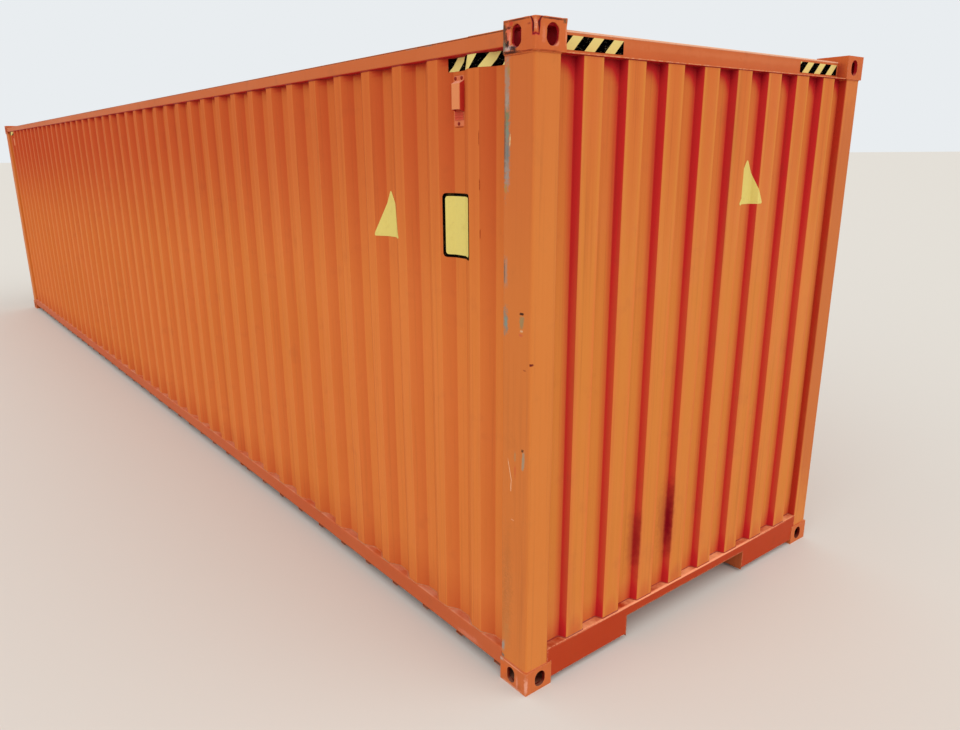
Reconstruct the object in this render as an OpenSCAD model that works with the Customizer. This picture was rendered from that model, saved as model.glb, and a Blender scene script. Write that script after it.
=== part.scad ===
// A forty foot high-cube shipping container in orange steel.
// X runs along the length with the closed front end at +X and the doors at -X.
// The right side is at -Y, and Z is up from the feet of the bottom corner castings.

/* [Overall] */
// Length over the corner castings
length = 12192; // [9125:1:13716]
// Width over the corner castings
width = 2438; // [2300:1:2600]
// Height over the corner castings
height = 2896; // [2438:1:3000]

/* [Corner castings] */
// Length of a casting along the container
casting_l = 178; // [170:1:190]
// Width of a casting across the container
casting_w = 162; // [156:1:170]
// Height of a casting
casting_h = 118; // [112:1:124]
// Thickness of the slotted top or bottom plate of a casting
casting_plate = 28; // [20:1:32]
// Thickness of the other walls of a casting
casting_wall = 16; // [10:1:18]
// Length of the twistlock slot along the container
slot_l = 124; // [118:1:128]
// Width of the twistlock slot
slot_w = 63.5; // [58:0.5:66]
// Distance from the container's end to the middle of the slot
slot_inset_l = 103.5; // [98:0.5:104]
// Distance from the container's side to the middle of the slot
slot_inset_w = 89.5; // [80:0.5:95]
// Height of the upright holes in the side and end of a casting
hole_h = 79.5; // [70:0.5:82]
// Width of the hole in the side of a casting
side_hole_w = 51; // [45:0.5:60]
// Width of the hole in the end of a casting
end_hole_w = 63.5; // [55:0.5:68]

/* [Posts] */
// Distance that posts and rails lie behind the faces of the castings
setback = 6; // [3:0.5:10]
// Plate thickness of the posts
post_t = 6; // [4:0.5:8]
// Width of a front post's end face
front_post_face = 135; // [120:1:150]
// Depth of the flange that turns in from each edge of a post
post_return = 50; // [46:1:60]
// Width of a rear post's end face beside the doors
rear_post_face = 64; // [50:1:80]
// Width of the flange that the doors close against
door_seat = 40; // [30:1:50]

/* [Rails] */
// Size of the square tube along the top of each side
top_rail = 60; // [50:1:80]
// Wall of the square tubes
tube_t = 3; // [2:0.5:5]
// Distance from the top of the castings to the top of the top rails
top_rail_drop = 31; // [29:1:45]
// Level of the top of the bottom side rails
bottom_rail_top = 160; // [156:1:166]
// Level of the underside of the bottom side rails
bottom_rail_low = 62; // [50:1:80]
// Plate thickness of the bottom side rails
bottom_rail_t = 4.5; // [3:0.5:6]
// Width of the bottom side rail's top flange
bottom_rail_flange = 48; // [46:1:60]
// Width of the bottom side rail's lower flange
bottom_rail_lip = 30; // [20:1:45]

/* [Front end] */
// Level of the top of the front sill
front_sill_top = 192; // [180:1:210]
// Level of the underside of the sills
sill_low = 30; // [20:1:40]
// Plate thickness of the sills and headers
end_t = 4; // [3:0.5:6]
// Depth of the sill's and headers' flanges along the container
end_flange = 62; // [56:1:80]
// Distance that the front header's face lies behind the castings
header_recess = 55; // [52:1:70]
// Distance that the edges of the front sill and shelf lie behind the castings
front_edge = 4; // [2:0.5:6]

/* [Side walls] */
// Distance from one ridge to the next
side_pitch = 278; // [250:1:300]
// Width of a ridge's outer flat
side_flat = 70; // [60:1:80]
// Run of each slope between the flats
side_slope = 68; // [50:1:75]
// Depth of the corrugation
side_depth = 36; // [25:1:36]
// Thickness of the side sheets
side_sheet = 2; // [1:0.1:3]
// Distance that the ridges lie behind the rails' faces
side_inset = 4; // [0:0.5:6]
// Distance from the front end to the first ridge's front edge
side_first = 336; // [300:1:360]

/* [Front wall] */
// Distance from one ridge to the next
front_pitch = 256; // [230:1:260]
// Width of a ridge's outer flat
front_flat = 112; // [90:1:120]
// Run of each slope between the flats
front_slope = 18; // [10:1:25]
// Depth of the corrugation
front_depth = 38; // [25:1:38]
// Number of ridges
front_ridges = 8; // [4:1:8]
// Thickness of the front sheet
front_sheet = 2; // [1:0.1:3]
// Distance that the ridges lie behind the castings
front_inset = 8; // [6:0.5:10]

/* [Roof] */
// Distance from one roof ridge to the next
roof_pitch = 209; // [180:1:240]
// Width of a roof ridge at its foot
roof_ridge_w = 118; // [90:1:130]
// Run of a roof ridge's long slopes
roof_slope = 25; // [15:1:35]
// Run of the slopes at the ends of a roof ridge
roof_end_slope = 60; // [40:1:90]
// Height of a roof ridge
roof_ridge_h = 20; // [12:1:22]
// Distance from the container's side to the foot of a roof ridge
roof_edge = 95; // [80:1:130]
// Thickness of the roof sheet
roof_sheet = 2; // [1:0.1:3]
// Thickness of the plates between the top castings
roof_plate_t = 3; // [2:0.5:5]
// Distance that those plates reach past the castings
roof_plate_l = 220; // [120:1:300]

/* [Floor] */
// Thickness of the floor boards
floor_t = 28; // [20:1:32]
// Number of boards across the floor
floor_boards = 6; // [3:1:10]
// Gap between two floor boards
board_gap = 3; // [1:0.5:6]
// Level of the underside of the cross members
member_low = 17; // [13:1:25]
// Height of the cross members
member_h = 122; // [118:1:126]
// Flange width of the cross members
member_w = 45; // [35:1:60]
// Plate thickness of the cross members
member_t = 4; // [3:0.5:6]
// Distance from one cross member to the next
member_pitch = 305; // [250:1:400]
// Clear width of the tunnel under the front of the floor
tunnel_w = 1029; // [950:1:1100]
// Length of the tunnel
tunnel_l = 3315; // [2500:1:3700]

/* [Doors] */
// Distance that the doors lie behind the rear faces of the castings
door_recess = 48; // [44:1:60]
// Thickness of a door leaf
door_t = 46; // [40:1:55]
// Gap around each door leaf
door_gap = 4; // [3:0.5:8]
// Thickness of the rubber seal between a leaf and its seat
seal_t = 10; // [6:1:15]
// Width of the rubber seal
seal_w = 30; // [20:1:35]
// Level of the lower edge of the door leaves
door_low = 130; // [126:1:140]
// Distance from the top of the castings to the upper edge of the door leaves
door_drop = 144; // [140:1:170]
// Width of a door frame's upright
frame_upright = 60; // [40:1:80]
// Height of a door frame's top and bottom
frame_beam = 100; // [70:1:130]
// Plate thickness of the door frames
frame_t = 3; // [2:0.5:5]
// Number of ridges in a door sheet
door_ridges = 6; // [3:1:9]
// Height of a door ridge's slopes
door_slope = 40; // [25:1:60]
// Height of the recess between two door ridges
door_valley = 90; // [60:1:120]
// Depth of the corrugation of a door sheet
door_depth = 34; // [20:1:36]
// Thickness of a door sheet
door_sheet = 2; // [1:0.1:3]

/* [Door gear] */
// Diameter of a locking bar
bar_d = 34; // [25:1:36]
// Distance from the middle of the bar to the door's face
bar_stand_off = 24; // [23:1:25]
// Distance from the middle of the doors to the inner bars
bar_inner = 260; // [180:1:320]
// Distance from the middle of the doors to the outer bars
bar_outer = 840; // [700:1:900]
// Distance that a locking bar reaches past the leaf
bar_reach = 62; // [50:1:75]
// Clearance between a bar and its brackets
bar_clearance = 0.4; // [0.2:0.1:0.8]
// Height of a bar bracket
bracket_h = 45; // [30:1:70]
// Number of brackets on each bar
brackets = 4; // [2:1:6]
// Diameter of a hinge knuckle
knuckle_d = 22; // [16:1:24]
// Height of a hinge
hinge_h = 120; // [80:1:160]
// Number of hinges on each leaf
hinges = 4; // [3:1:6]
// Distance from a bracket up to the handle on an outer bar
handle_rise = 25; // [5:1:60]
// Distance that the handles on the inner bars lie higher
handle_step = 110; // [70:1:160]
// Length of a door handle
handle_l = 430; // [300:1:460]
// Height of a door handle's flat bar
handle_w = 36; // [25:1:45]
// Thickness of a door handle's flat bar
handle_t = 8; // [5:1:10]

/* [Ventilators] */
// Width of a ventilator's body
vent_w = 61; // [50:1:65]
// Height of a ventilator's body
vent_h = 123; // [90:1:150]
// Depth of a ventilator's body
vent_depth = 30; // [20:1:34]
// Width of a ventilator's base plate
vent_base_w = 70; // [66:1:72]
// Height of a ventilator's base plate
vent_base_h = 204; // [170:1:220]
// Distance from the top of the castings to the top of the base plate
vent_drop = 163; // [150:1:260]

/* [Hidden] */
$fn = 48;
paint = "#cf7038";
paint_dark = "#b85a30";
zinc = "#9aa0a3";
rubber = "#2a2a2c";
plywood = "#8c6a48";
half_l = length / 2;
half_w = width / 2;
// Faces of posts and rails on each axis
frame_x = half_l - setback;
frame_y = half_w - setback;
// Inner faces of the castings
inner_x = half_l - casting_l;
inner_y = half_w - casting_w;
// Levels
lower_casting_top = casting_h;
upper_casting_low = height - casting_h;
top_rail_top = height - top_rail_drop;
top_rail_low = top_rail_top - top_rail;
member_top = member_low + member_h;
floor_top = member_top + floor_t;
door_top = height - door_drop;
// Places across the doors, counted inward from the outside
rear_post_edge = frame_y - rear_post_face;
seat_edge = rear_post_edge - door_seat;
door_face = half_l - door_recess;
door_back = door_face - door_t;
seat_x = door_back - seal_t;
leaf_outer = rear_post_edge - door_gap;
leaf_inner = door_gap;
front_post_edge = frame_y - front_post_face;
side_outer = frame_y - side_inset;
side_inner = side_outer - side_depth;
front_outer = half_l - front_inset;
front_inner = front_outer - front_depth;
header_x = half_l - header_recess;
roof_inner_x = inner_x - roof_plate_l;
sill_back = door_face - door_t - end_flange;
sink = 1;

function direction(a, b) = (b - a) / norm(b - a);
function across(d) = [-d[1], d[0]];
function end_normal(points, i) =
  across(i == 0 ? direction(points[0], points[1]) : direction(points[i - 1], points[i]));
function corner_normal(points, i) =
  let (n = across(direction(points[i - 1], points[i])),
       m = across(direction(points[i], points[i + 1])))
  (n + m) / (1 + n * m);
function side_step(points, i) =
  (i == 0 || i == len(points) - 1) ? end_normal(points, i) : corner_normal(points, i);
// Closed outline of a bent sheet: the path, and the path moved sideways by t, to its left
function sheet(path, t) =
  concat(path, [for (i = [len(path) - 1 : -1 : 0]) path[i] + t * side_step(path, i)]);

// Draws its children on the right side, or mirrored on the left
module on_side(left) {
  mirror([0, left ? 1 : 0, 0]) children();
}

// Draws its children at the front end, or mirrored at the rear
module on_end(rear) {
  mirror([rear ? 1 : 0, 0, 0]) children();
}

// Carries an outline of [x, z] points along Y
module along_y(from, to) {
  translate([0, to, 0]) rotate([90, 0, 0]) linear_extrude(to - from) children();
}

// Carries an outline of [y, z] points along X
module along_x(from, to) {
  translate([from, 0, 0]) rotate([90, 0, 90]) linear_extrude(to - from) children();
}

// Carries an outline of [x, y] points up
module upward(from, to) {
  translate([0, 0, from]) linear_extrude(to - from) children();
}

// A block between two opposite corners
module block(a, b) {
  translate(a) cube(b - a);
}

// A round-ended slot that stands along Z, long in X
module slot_z(l, w, h) {
  for (s = [-1, 1]) translate([s * (l - w) / 2, 0, 0]) cylinder(h = h, d = w);
  translate([-(l - w) / 2, -w / 2, 0]) cube([l - w, w, h]);
}

// One hollow corner casting with its outer corner at the origin
module casting_body() {
  depth = casting_plate + 2 * sink;
  difference() {
    cube([casting_l, casting_w, casting_h]);
    block([casting_wall, casting_wall, casting_plate],
          [casting_l - casting_wall, casting_w - casting_wall, casting_h - casting_wall]);
    translate([slot_inset_l, slot_inset_w, -sink]) slot_z(slot_l, slot_w, depth);
    translate([slot_inset_l, -sink, casting_h / 2]) rotate([-90, 90, 0])
      slot_z(hole_h, side_hole_w, casting_wall + 2 * sink);
    translate([-sink, slot_inset_w, casting_h / 2]) rotate([0, 90, 0])
      slot_z(hole_h, end_hole_w, casting_wall + 2 * sink);
  }
}

module corner_casting(rear, left, top) {
  color(paint)
    translate([rear ? -half_l : half_l, left ? half_w : -half_w, top ? height : 0])
      mirror([rear ? 0 : 1, 0, 0]) mirror([0, left ? 1 : 0, 0]) mirror([0, 0, top ? 1 : 0])
        casting_body();
}

module front_post(left) {
  path = [
    [inner_x, -frame_y + post_return], [inner_x, -frame_y], [frame_x, -frame_y],
    [frame_x, -front_post_edge], [frame_x - post_return, -front_post_edge]
  ];
  color(paint) on_side(left)
    upward(lower_casting_top, upper_casting_low) polygon(sheet(path, post_t));
}

module rear_post(left) {
  path = [
    [inner_x, -frame_y + post_return], [inner_x, -frame_y], [frame_x, -frame_y],
    [frame_x, -rear_post_edge], [seat_x, -rear_post_edge], [seat_x, -seat_edge]
  ];
  color(paint) on_end(true) on_side(left)
    upward(lower_casting_top, upper_casting_low) polygon(sheet(path, post_t));
}

module top_side_rail(left) {
  color(paint) on_side(left) along_x(-inner_x, inner_x) difference() {
    translate([-frame_y, top_rail_low]) square(top_rail);
    translate([-frame_y + tube_t, top_rail_low + tube_t]) square(top_rail - 2 * tube_t);
  }
}

module bottom_side_rail(left) {
  path = [
    [-frame_y + bottom_rail_flange, bottom_rail_top], [-frame_y, bottom_rail_top],
    [-frame_y, bottom_rail_low], [-frame_y + bottom_rail_lip, bottom_rail_low]
  ];
  color(paint) on_side(left) along_x(-inner_x, inner_x) polygon(sheet(path, bottom_rail_t));
}

// A tube between the top castings with a shelf that covers the front wall's upper edge
module front_header() {
  back = header_x - end_flange;
  color(paint) along_y(-inner_y, inner_y) {
    difference() {
      translate([back, upper_casting_low]) square([end_flange, top_rail_top - upper_casting_low]);
      translate([back + tube_t, upper_casting_low + tube_t])
        square([end_flange - 2 * tube_t, top_rail_top - upper_casting_low - 2 * tube_t]);
    }
    translate([header_x, upper_casting_low])
      square([half_l - front_edge - header_x, end_t]);
  }
}

module front_sill() {
  x = half_l - front_edge;
  upper = [[x - end_flange, front_sill_top], [x, front_sill_top], [x, casting_h]];
  whole = [
    [x - end_flange, front_sill_top], [x, front_sill_top],
    [x, sill_low], [x - end_flange, sill_low]
  ];
  cut = tunnel_w / 2 + end_t;
  color(paint) difference() {
    union() {
      along_y(-inner_y, inner_y) polygon(sheet(whole, -end_t));
      along_y(-front_post_edge, front_post_edge) polygon(sheet(upper, -end_t));
    }
    block([x - end_flange - sink, -cut, 0], [half_l, cut, member_top]);
  }
}

module door_header() {
  whole = [
    [seat_x, door_top - seal_w], [seat_x, door_top + door_gap], [door_face, door_top + door_gap],
    [door_face, top_rail_top], [sill_back, top_rail_top]
  ];
  stop = [[seat_x, door_top - seal_w], [seat_x, door_top + door_gap], [door_face, door_top + door_gap]];
  color(paint) on_end(true) {
    along_y(-inner_y, inner_y) polygon(sheet(whole, end_t));
    along_y(-seat_edge, seat_edge) polygon(sheet(stop, end_t));
  }
}

module door_sill() {
  step = door_low - door_gap;
  whole = [
    [sill_back, floor_top], [seat_x, floor_top], [seat_x, step], [door_face, step],
    [door_face, sill_low], [sill_back, sill_low]
  ];
  stop = [[sill_back, floor_top], [seat_x, floor_top], [seat_x, step], [door_face, step]];
  color(paint) on_end(true) {
    along_y(-inner_y, inner_y) polygon(sheet(whole, -end_t));
    along_y(-seat_edge, seat_edge) polygon(sheet(stop, -end_t));
  }
}

// One ridge of a side wall, from its front foot to its rear foot
function side_ridge(x) = [
  [x + side_slope, -side_inner], [x, -side_outer],
  [x - side_flat, -side_outer], [x - side_flat - side_slope, -side_inner]
];
side_foot = side_flat + side_slope;
side_count = floor((length - side_first - side_foot - casting_l - side_slope) / side_pitch) + 1;
side_path = concat(
  [[inner_x, -side_inner]],
  [for (k = [0 : side_count - 1]) each side_ridge(half_l - side_first - k * side_pitch)],
  [[-inner_x, -side_inner]]
);

module side_wall(left) {
  color(paint) on_side(left)
    upward(bottom_rail_top, top_rail_low) polygon(sheet(side_path, -side_sheet));
}

// One ridge of the front wall, from its right foot to its left foot
function front_ridge(y) = [
  [front_inner, y - front_slope], [front_outer, y],
  [front_outer, y + front_flat], [front_inner, y + front_flat + front_slope]
];
front_start = -((front_ridges - 1) * front_pitch + front_flat) / 2;
front_path = concat(
  [[front_inner, -front_post_edge]],
  [for (k = [0 : front_ridges - 1]) each front_ridge(front_start + k * front_pitch)],
  [[front_inner, front_post_edge]]
);

module front_wall() {
  color(paint) upward(front_sill_top, upper_casting_low) polygon(sheet(front_path, front_sheet));
}

// Half width of a ridge at a level above the sheet, moved inward by a thickness
function ridge_half(foot, run, level, inward) =
  foot - inward * sqrt(run * run + roof_ridge_h * roof_ridge_h) / roof_ridge_h
  - level * run / roof_ridge_h;
function ridge_outline(foot, run, inward, low) =
  let (high = roof_ridge_h - inward,
       wide = ridge_half(foot, run, low, inward),
       narrow = ridge_half(foot, run, high, inward))
  [[-wide, low], [wide, low], [narrow, high], [-narrow, high]];
roof_count = floor((2 * roof_inner_x - roof_ridge_w) / roof_pitch) + 1;
roof_start = -(roof_count - 1) * roof_pitch / 2;

// All roof ridges as solid bars with sloping ends
module roof_ridges(inward, low) {
  intersection() {
    along_y(-half_w, half_w)
      for (k = [0 : roof_count - 1])
        translate([roof_start + k * roof_pitch, 0])
          polygon(ridge_outline(roof_ridge_w / 2, roof_slope, inward, low));
    along_x(-half_l, half_l)
      polygon(ridge_outline(half_w - roof_edge, roof_end_slope, inward, low));
  }
}

module roof_panel() {
  color(paint_dark) translate([0, 0, top_rail_top + roof_sheet]) difference() {
    union() {
      block([-roof_inner_x, -frame_y, -roof_sheet], [roof_inner_x, frame_y, 0]);
      roof_ridges(0, -sink);
    }
    roof_ridges(roof_sheet, -2 * roof_sheet);
  }
}

// Flat plate between the two top castings of an end, wider where it passes them
module roof_plate(rear) {
  end = rear ? door_face : header_x;
  outline = [
    [roof_inner_x, -frame_y], [inner_x, -frame_y], [inner_x, -inner_y], [end, -inner_y],
    [end, inner_y], [inner_x, inner_y], [inner_x, frame_y], [roof_inner_x, frame_y]
  ];
  color(paint_dark) on_end(rear)
    upward(top_rail_top, top_rail_top + roof_plate_t) polygon(outline);
}

module floor_boards_panel() {
  edge = frame_y - bottom_rail_flange - board_gap;
  front = front_inner - front_sheet;
  board_w = (2 * edge + board_gap) / floor_boards;
  color(plywood)
    for (k = [0 : floor_boards - 1])
      block([-sill_back, -edge + k * board_w, member_top],
            [front, -edge + (k + 1) * board_w - board_gap, floor_top]);
}

// One cross member between two distances from the middle
module cross_member(x, from, to) {
  path = [
    [x + member_w, member_low], [x, member_low], [x, member_top], [x + member_w, member_top]
  ];
  along_y(from, to) polygon(sheet(path, -member_t));
}
rail_web = frame_y - bottom_rail_t;
rail_lip_edge = frame_y - bottom_rail_lip;
member_start = -sill_back + member_w;
tunnel_back = half_l - front_edge - tunnel_l;
member_count = floor((tunnel_back - member_start - member_w) / member_pitch) + 1;
outrigger_count = floor((half_l - front_edge - end_flange - tunnel_back - member_w) / member_pitch) + 1;

// Room for the lower flange of a bottom side rail
module rail_lip_room() {
  top = bottom_rail_low + bottom_rail_t;
  block([-half_l, -half_w, 0], [half_l, -rail_lip_edge, top]);
}

module cross_members() {
  color(paint_dark) difference() {
    for (k = [0 : member_count - 1])
      cross_member(member_start + k * member_pitch, -rail_web, rail_web);
    rail_lip_room();
    on_side(true) rail_lip_room();
  }
}

module outriggers(left) {
  color(paint_dark) on_side(left) difference() {
    for (k = [0 : outrigger_count - 1])
      cross_member(tunnel_back + k * member_pitch, -rail_web, -tunnel_w / 2 - end_t);
    rail_lip_room();
  }
}

module gooseneck_tunnel() {
  top = member_top - end_t;
  path = [
    [-tunnel_w / 2, member_low], [-tunnel_w / 2, top], [tunnel_w / 2, top], [tunnel_w / 2, member_low]
  ];
  color(paint_dark) along_x(tunnel_back, tunnel_back + tunnel_l) polygon(sheet(path, end_t));
}

module door_frame(left) {
  color(paint) on_end(true) on_side(left) difference() {
    block([door_back, -leaf_outer, door_low], [door_face, -leaf_inner, door_top]);
    block([door_back - sink, -leaf_outer + frame_upright, door_low + frame_beam],
          [door_face + sink, -leaf_inner - frame_upright, door_top - frame_beam]);
    difference() {
      block([door_back - sink, -leaf_outer + frame_t, door_low + frame_t],
            [door_face - frame_t, -leaf_inner - frame_t, door_top - frame_t]);
      block([door_back - 2 * sink, -leaf_outer + frame_upright - frame_t,
             door_low + frame_beam - frame_t],
            [door_face + sink, -leaf_inner - frame_upright + frame_t,
             door_top - frame_beam + frame_t]);
    }
  }
}
door_sheet_low = door_low + frame_beam;
door_sheet_top = door_top - frame_beam;
door_pitch = (door_sheet_top - door_sheet_low + door_valley) / door_ridges;
door_outer = door_face - door_sheet;
door_inner = door_outer - door_depth;

// One wide ridge of a door sheet, from its lower foot to its upper foot
function door_ridge(k) =
  let (low = door_sheet_low + k * door_pitch, high = low + door_pitch - door_valley)
  concat(
    k == 0 ? [] : [[door_inner, low - door_slope / 2]],
    [[door_outer, k == 0 ? low : low + door_slope / 2],
     [door_outer, k == door_ridges - 1 ? high : high - door_slope / 2]],
    k == door_ridges - 1 ? [] : [[door_inner, high + door_slope / 2]]
  );

module door_sheet_panel(left) {
  path = [for (k = [0 : door_ridges - 1]) each door_ridge(k)];
  color(paint) on_end(true) on_side(left)
    along_y(-leaf_outer + frame_upright, -leaf_inner - frame_upright)
      polygon(sheet(path, door_sheet));
}

module door_seal(left) {
  on_end(true) on_side(left) difference() {
    block([seat_x, -leaf_outer, door_low], [door_back, -leaf_inner, door_top]);
    block([seat_x - sink, -leaf_outer + seal_w, door_low + seal_w],
          [door_back + sink, -leaf_inner - seal_w, door_top - seal_w]);
  }
}

module door_seals() {
  color(rubber) {
    door_seal(false);
    door_seal(true);
  }
}
knuckle_x = door_face + knuckle_d / 2 + 6;
knuckle_y = rear_post_edge - knuckle_d / 2 - 3;
hinge_step = (door_top - door_low - 2 * frame_beam - hinge_h) / (hinges - 1);

// A knuckle with a blade on the leaf and two lugs on the post
module hinge(z) {
  lug = 10;
  blade = 6;
  reach = 130;
  translate([0, 0, z]) {
    translate([knuckle_x, -knuckle_y, 0]) cylinder(h = hinge_h, d = knuckle_d);
    block([door_face, -knuckle_y, lug + 2], [door_face + blade, -knuckle_y + reach, hinge_h - lug - 2]);
    block([door_face, -knuckle_y - blade / 2, lug + 2], [knuckle_x, -knuckle_y + blade / 2, hinge_h - lug - 2]);
    for (low = [0, hinge_h - lug])
      block([knuckle_x - knuckle_d / 2, -rear_post_edge, low],
            [knuckle_x + knuckle_d / 2, -knuckle_y, low + lug]);
  }
}

module hinge_row(left) {
  color(zinc) on_end(true) on_side(left)
    for (k = [0 : hinges - 1]) hinge(door_low + frame_beam + k * hinge_step);
}
bar_x = door_face + bar_stand_off;
bar_low = door_low - bar_reach;
bar_top = door_top + bar_reach;
cam_d = bar_d + 10;
cam_h = 36;

// A tube with a thick cam head at each end
module locking_bar(left, outer) {
  y = -(outer ? bar_outer : bar_inner);
  wall = 4;
  color(paint) on_end(true) on_side(left) translate([bar_x, y, 0]) {
    difference() {
      translate([0, 0, bar_low]) cylinder(h = bar_top - bar_low, d = bar_d);
      translate([0, 0, bar_low + cam_h]) cylinder(h = bar_top - bar_low - 2 * cam_h, d = bar_d - 2 * wall);
    }
    for (low = [bar_low, bar_top - cam_h])
      translate([0, 0, low]) cylinder(h = cam_h, d = cam_d);
  }
}

// Two jaws beside a cam head, on the sill or header face
module bar_keeper(z) {
  jaw = 12;
  room = cam_d / 2 + bar_clearance;
  for (s = [-1, 1])
    translate([door_face, s * (room + jaw / 2) - jaw / 2, z]) cube([bar_stand_off + 14, jaw, cam_h]);
}

module bar_keepers() {
  color(zinc) on_end(true)
    for (y = [-bar_outer, -bar_inner, bar_inner, bar_outer], z = [bar_low, bar_top - cam_h])
      translate([0, y, 0]) bar_keeper(z);
}

// A strap that holds a bar to the leaf and leaves it room to turn
module bar_bracket(y, z) {
  room = bar_d / 2 + bar_clearance;
  strap = 5;
  foot = 26;
  translate([0, y, z]) difference() {
    union() {
      block([door_face, -room - strap, 0], [bar_x + room + strap, room + strap, bracket_h]);
      block([door_face, -room - foot, 0], [door_face + strap, room + foot, bracket_h]);
    }
    block([bar_x - room, -room, -sink], [bar_x + room, room, bracket_h + sink]);
  }
}

// A ledge on the leaf that carries the free end of a handle
module handle_catch(y, z) {
  w = 50;
  block([door_face, y - w / 2, z - handle_w / 2 - 16], [bar_x + handle_t, y + w / 2, z - handle_w / 2]);
}
bracket_first = door_low + frame_beam / 2 - bracket_h / 2;
bracket_step = (door_top - door_low - frame_beam) / (brackets - 1);
outer_handle_z = bracket_first + floor((brackets - 1) / 2) * bracket_step
  + bracket_h + handle_rise + handle_w / 2;
inner_handle_z = outer_handle_z + handle_step;
handle_reach = bar_d / 2 + bar_clearance + handle_l;

module bar_brackets() {
  color(zinc) on_end(true) for (s = [-1, 1]) {
    for (y = [bar_inner, bar_outer], k = [0 : brackets - 1])
      bar_bracket(s * y, bracket_first + k * bracket_step);
    handle_catch(s * (bar_outer - handle_reach + 40), outer_handle_z);
    handle_catch(s * (bar_inner + handle_reach - 40), inner_handle_z);
  }
}

// A flat bar beside a locking bar, with a fork round it
module door_handle(y, z, to) {
  gap = bar_d / 2 + bar_clearance;
  fork = 5;
  near = min(y + to * gap, y + to * (gap + handle_l));
  low = z - handle_w / 2;
  block([bar_x - handle_t / 2, near, low], [bar_x + handle_t / 2, near + handle_l, low + handle_w]);
  difference() {
    block([bar_x - gap - fork, y - gap - fork, low], [bar_x + gap + fork, y + gap + fork, low + handle_w]);
    block([bar_x - gap, y - gap, low - sink], [bar_x + gap, y + gap, low + handle_w + sink]);
  }
}

module door_handles() {
  color(zinc) on_end(true) for (s = [-1, 1]) {
    door_handle(s * bar_outer, outer_handle_z, -s);
    door_handle(s * bar_inner, inner_handle_z, s);
  }
}
// Middle of the recess behind the first ridge
vent_x = half_l - side_first - (side_pitch + side_flat) / 2;

// A base plate with a weather hood whose top slopes
module ventilator() {
  plate = 2;
  slope = vent_depth / 2;
  base_top = height - vent_drop;
  hood_top = base_top - (vent_base_h - vent_h) / 2 + slope / 2;
  face = -side_inner;
  block([vent_x - vent_base_w / 2, face - plate, base_top - vent_base_h],
        [vent_x + vent_base_w / 2, face, base_top]);
  along_x(vent_x - vent_w / 2, vent_x + vent_w / 2) polygon([
    [face - plate, hood_top], [face - vent_depth, hood_top - slope],
    [face - vent_depth, hood_top - vent_h], [face - plate, hood_top - vent_h]
  ]);
}

module ventilators() {
  color(paint) for (rear = [false, true], left = [false, true])
    on_side(left)
      if (rear) translate([-(side_count - 2) * side_pitch, 0, 0]) ventilator();
      else ventilator();
}

corner_casting(false, false, false);  // casting_front_right_bottom
corner_casting(false, false, true);  // casting_front_right_top
corner_casting(false, true, false);  // casting_front_left_bottom
corner_casting(false, true, true);  // casting_front_left_top
corner_casting(true, false, false);  // casting_rear_right_bottom
corner_casting(true, false, true);  // casting_rear_right_top
corner_casting(true, true, false);  // casting_rear_left_bottom
corner_casting(true, true, true);  // casting_rear_left_top
front_post(false);  // front_post_right
front_post(true);  // front_post_left
rear_post(false);  // rear_post_right
rear_post(true);  // rear_post_left
top_side_rail(false);  // top_side_rail_right
top_side_rail(true);  // top_side_rail_left
bottom_side_rail(false);  // bottom_side_rail_right
bottom_side_rail(true);  // bottom_side_rail_left
front_header();
front_sill();
door_header();
door_sill();
side_wall(false);  // side_wall_right
side_wall(true);  // side_wall_left
front_wall();
roof_panel();
roof_plate(false);  // roof_plate_front
roof_plate(true);  // roof_plate_rear
floor_boards_panel();
cross_members();
outriggers(false);  // outriggers_right
outriggers(true);  // outriggers_left
gooseneck_tunnel();
door_frame(false);  // door_frame_right
door_frame(true);  // door_frame_left
door_sheet_panel(false);  // door_sheet_right
door_sheet_panel(true);  // door_sheet_left
door_seals();
hinge_row(false);  // hinges_right
hinge_row(true);  // hinges_left
locking_bar(false, true);  // locking_bar_right_outer
locking_bar(false, false);  // locking_bar_right_inner
locking_bar(true, false);  // locking_bar_left_inner
locking_bar(true, true);  // locking_bar_left_outer
bar_keepers();
bar_brackets();
door_handles();
ventilators();
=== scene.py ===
"""A forty foot high-cube shipping container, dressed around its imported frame.

All lengths are metres in the frame's own axes: X runs along the container with the front wall at +X,
the right-hand side is at -Y, and Z is up from the underside of the lower corner castings.
"""

from __future__ import annotations

import logging
import math
from collections.abc import Callable, Sequence
from dataclasses import dataclass, field
from enum import Enum

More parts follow.
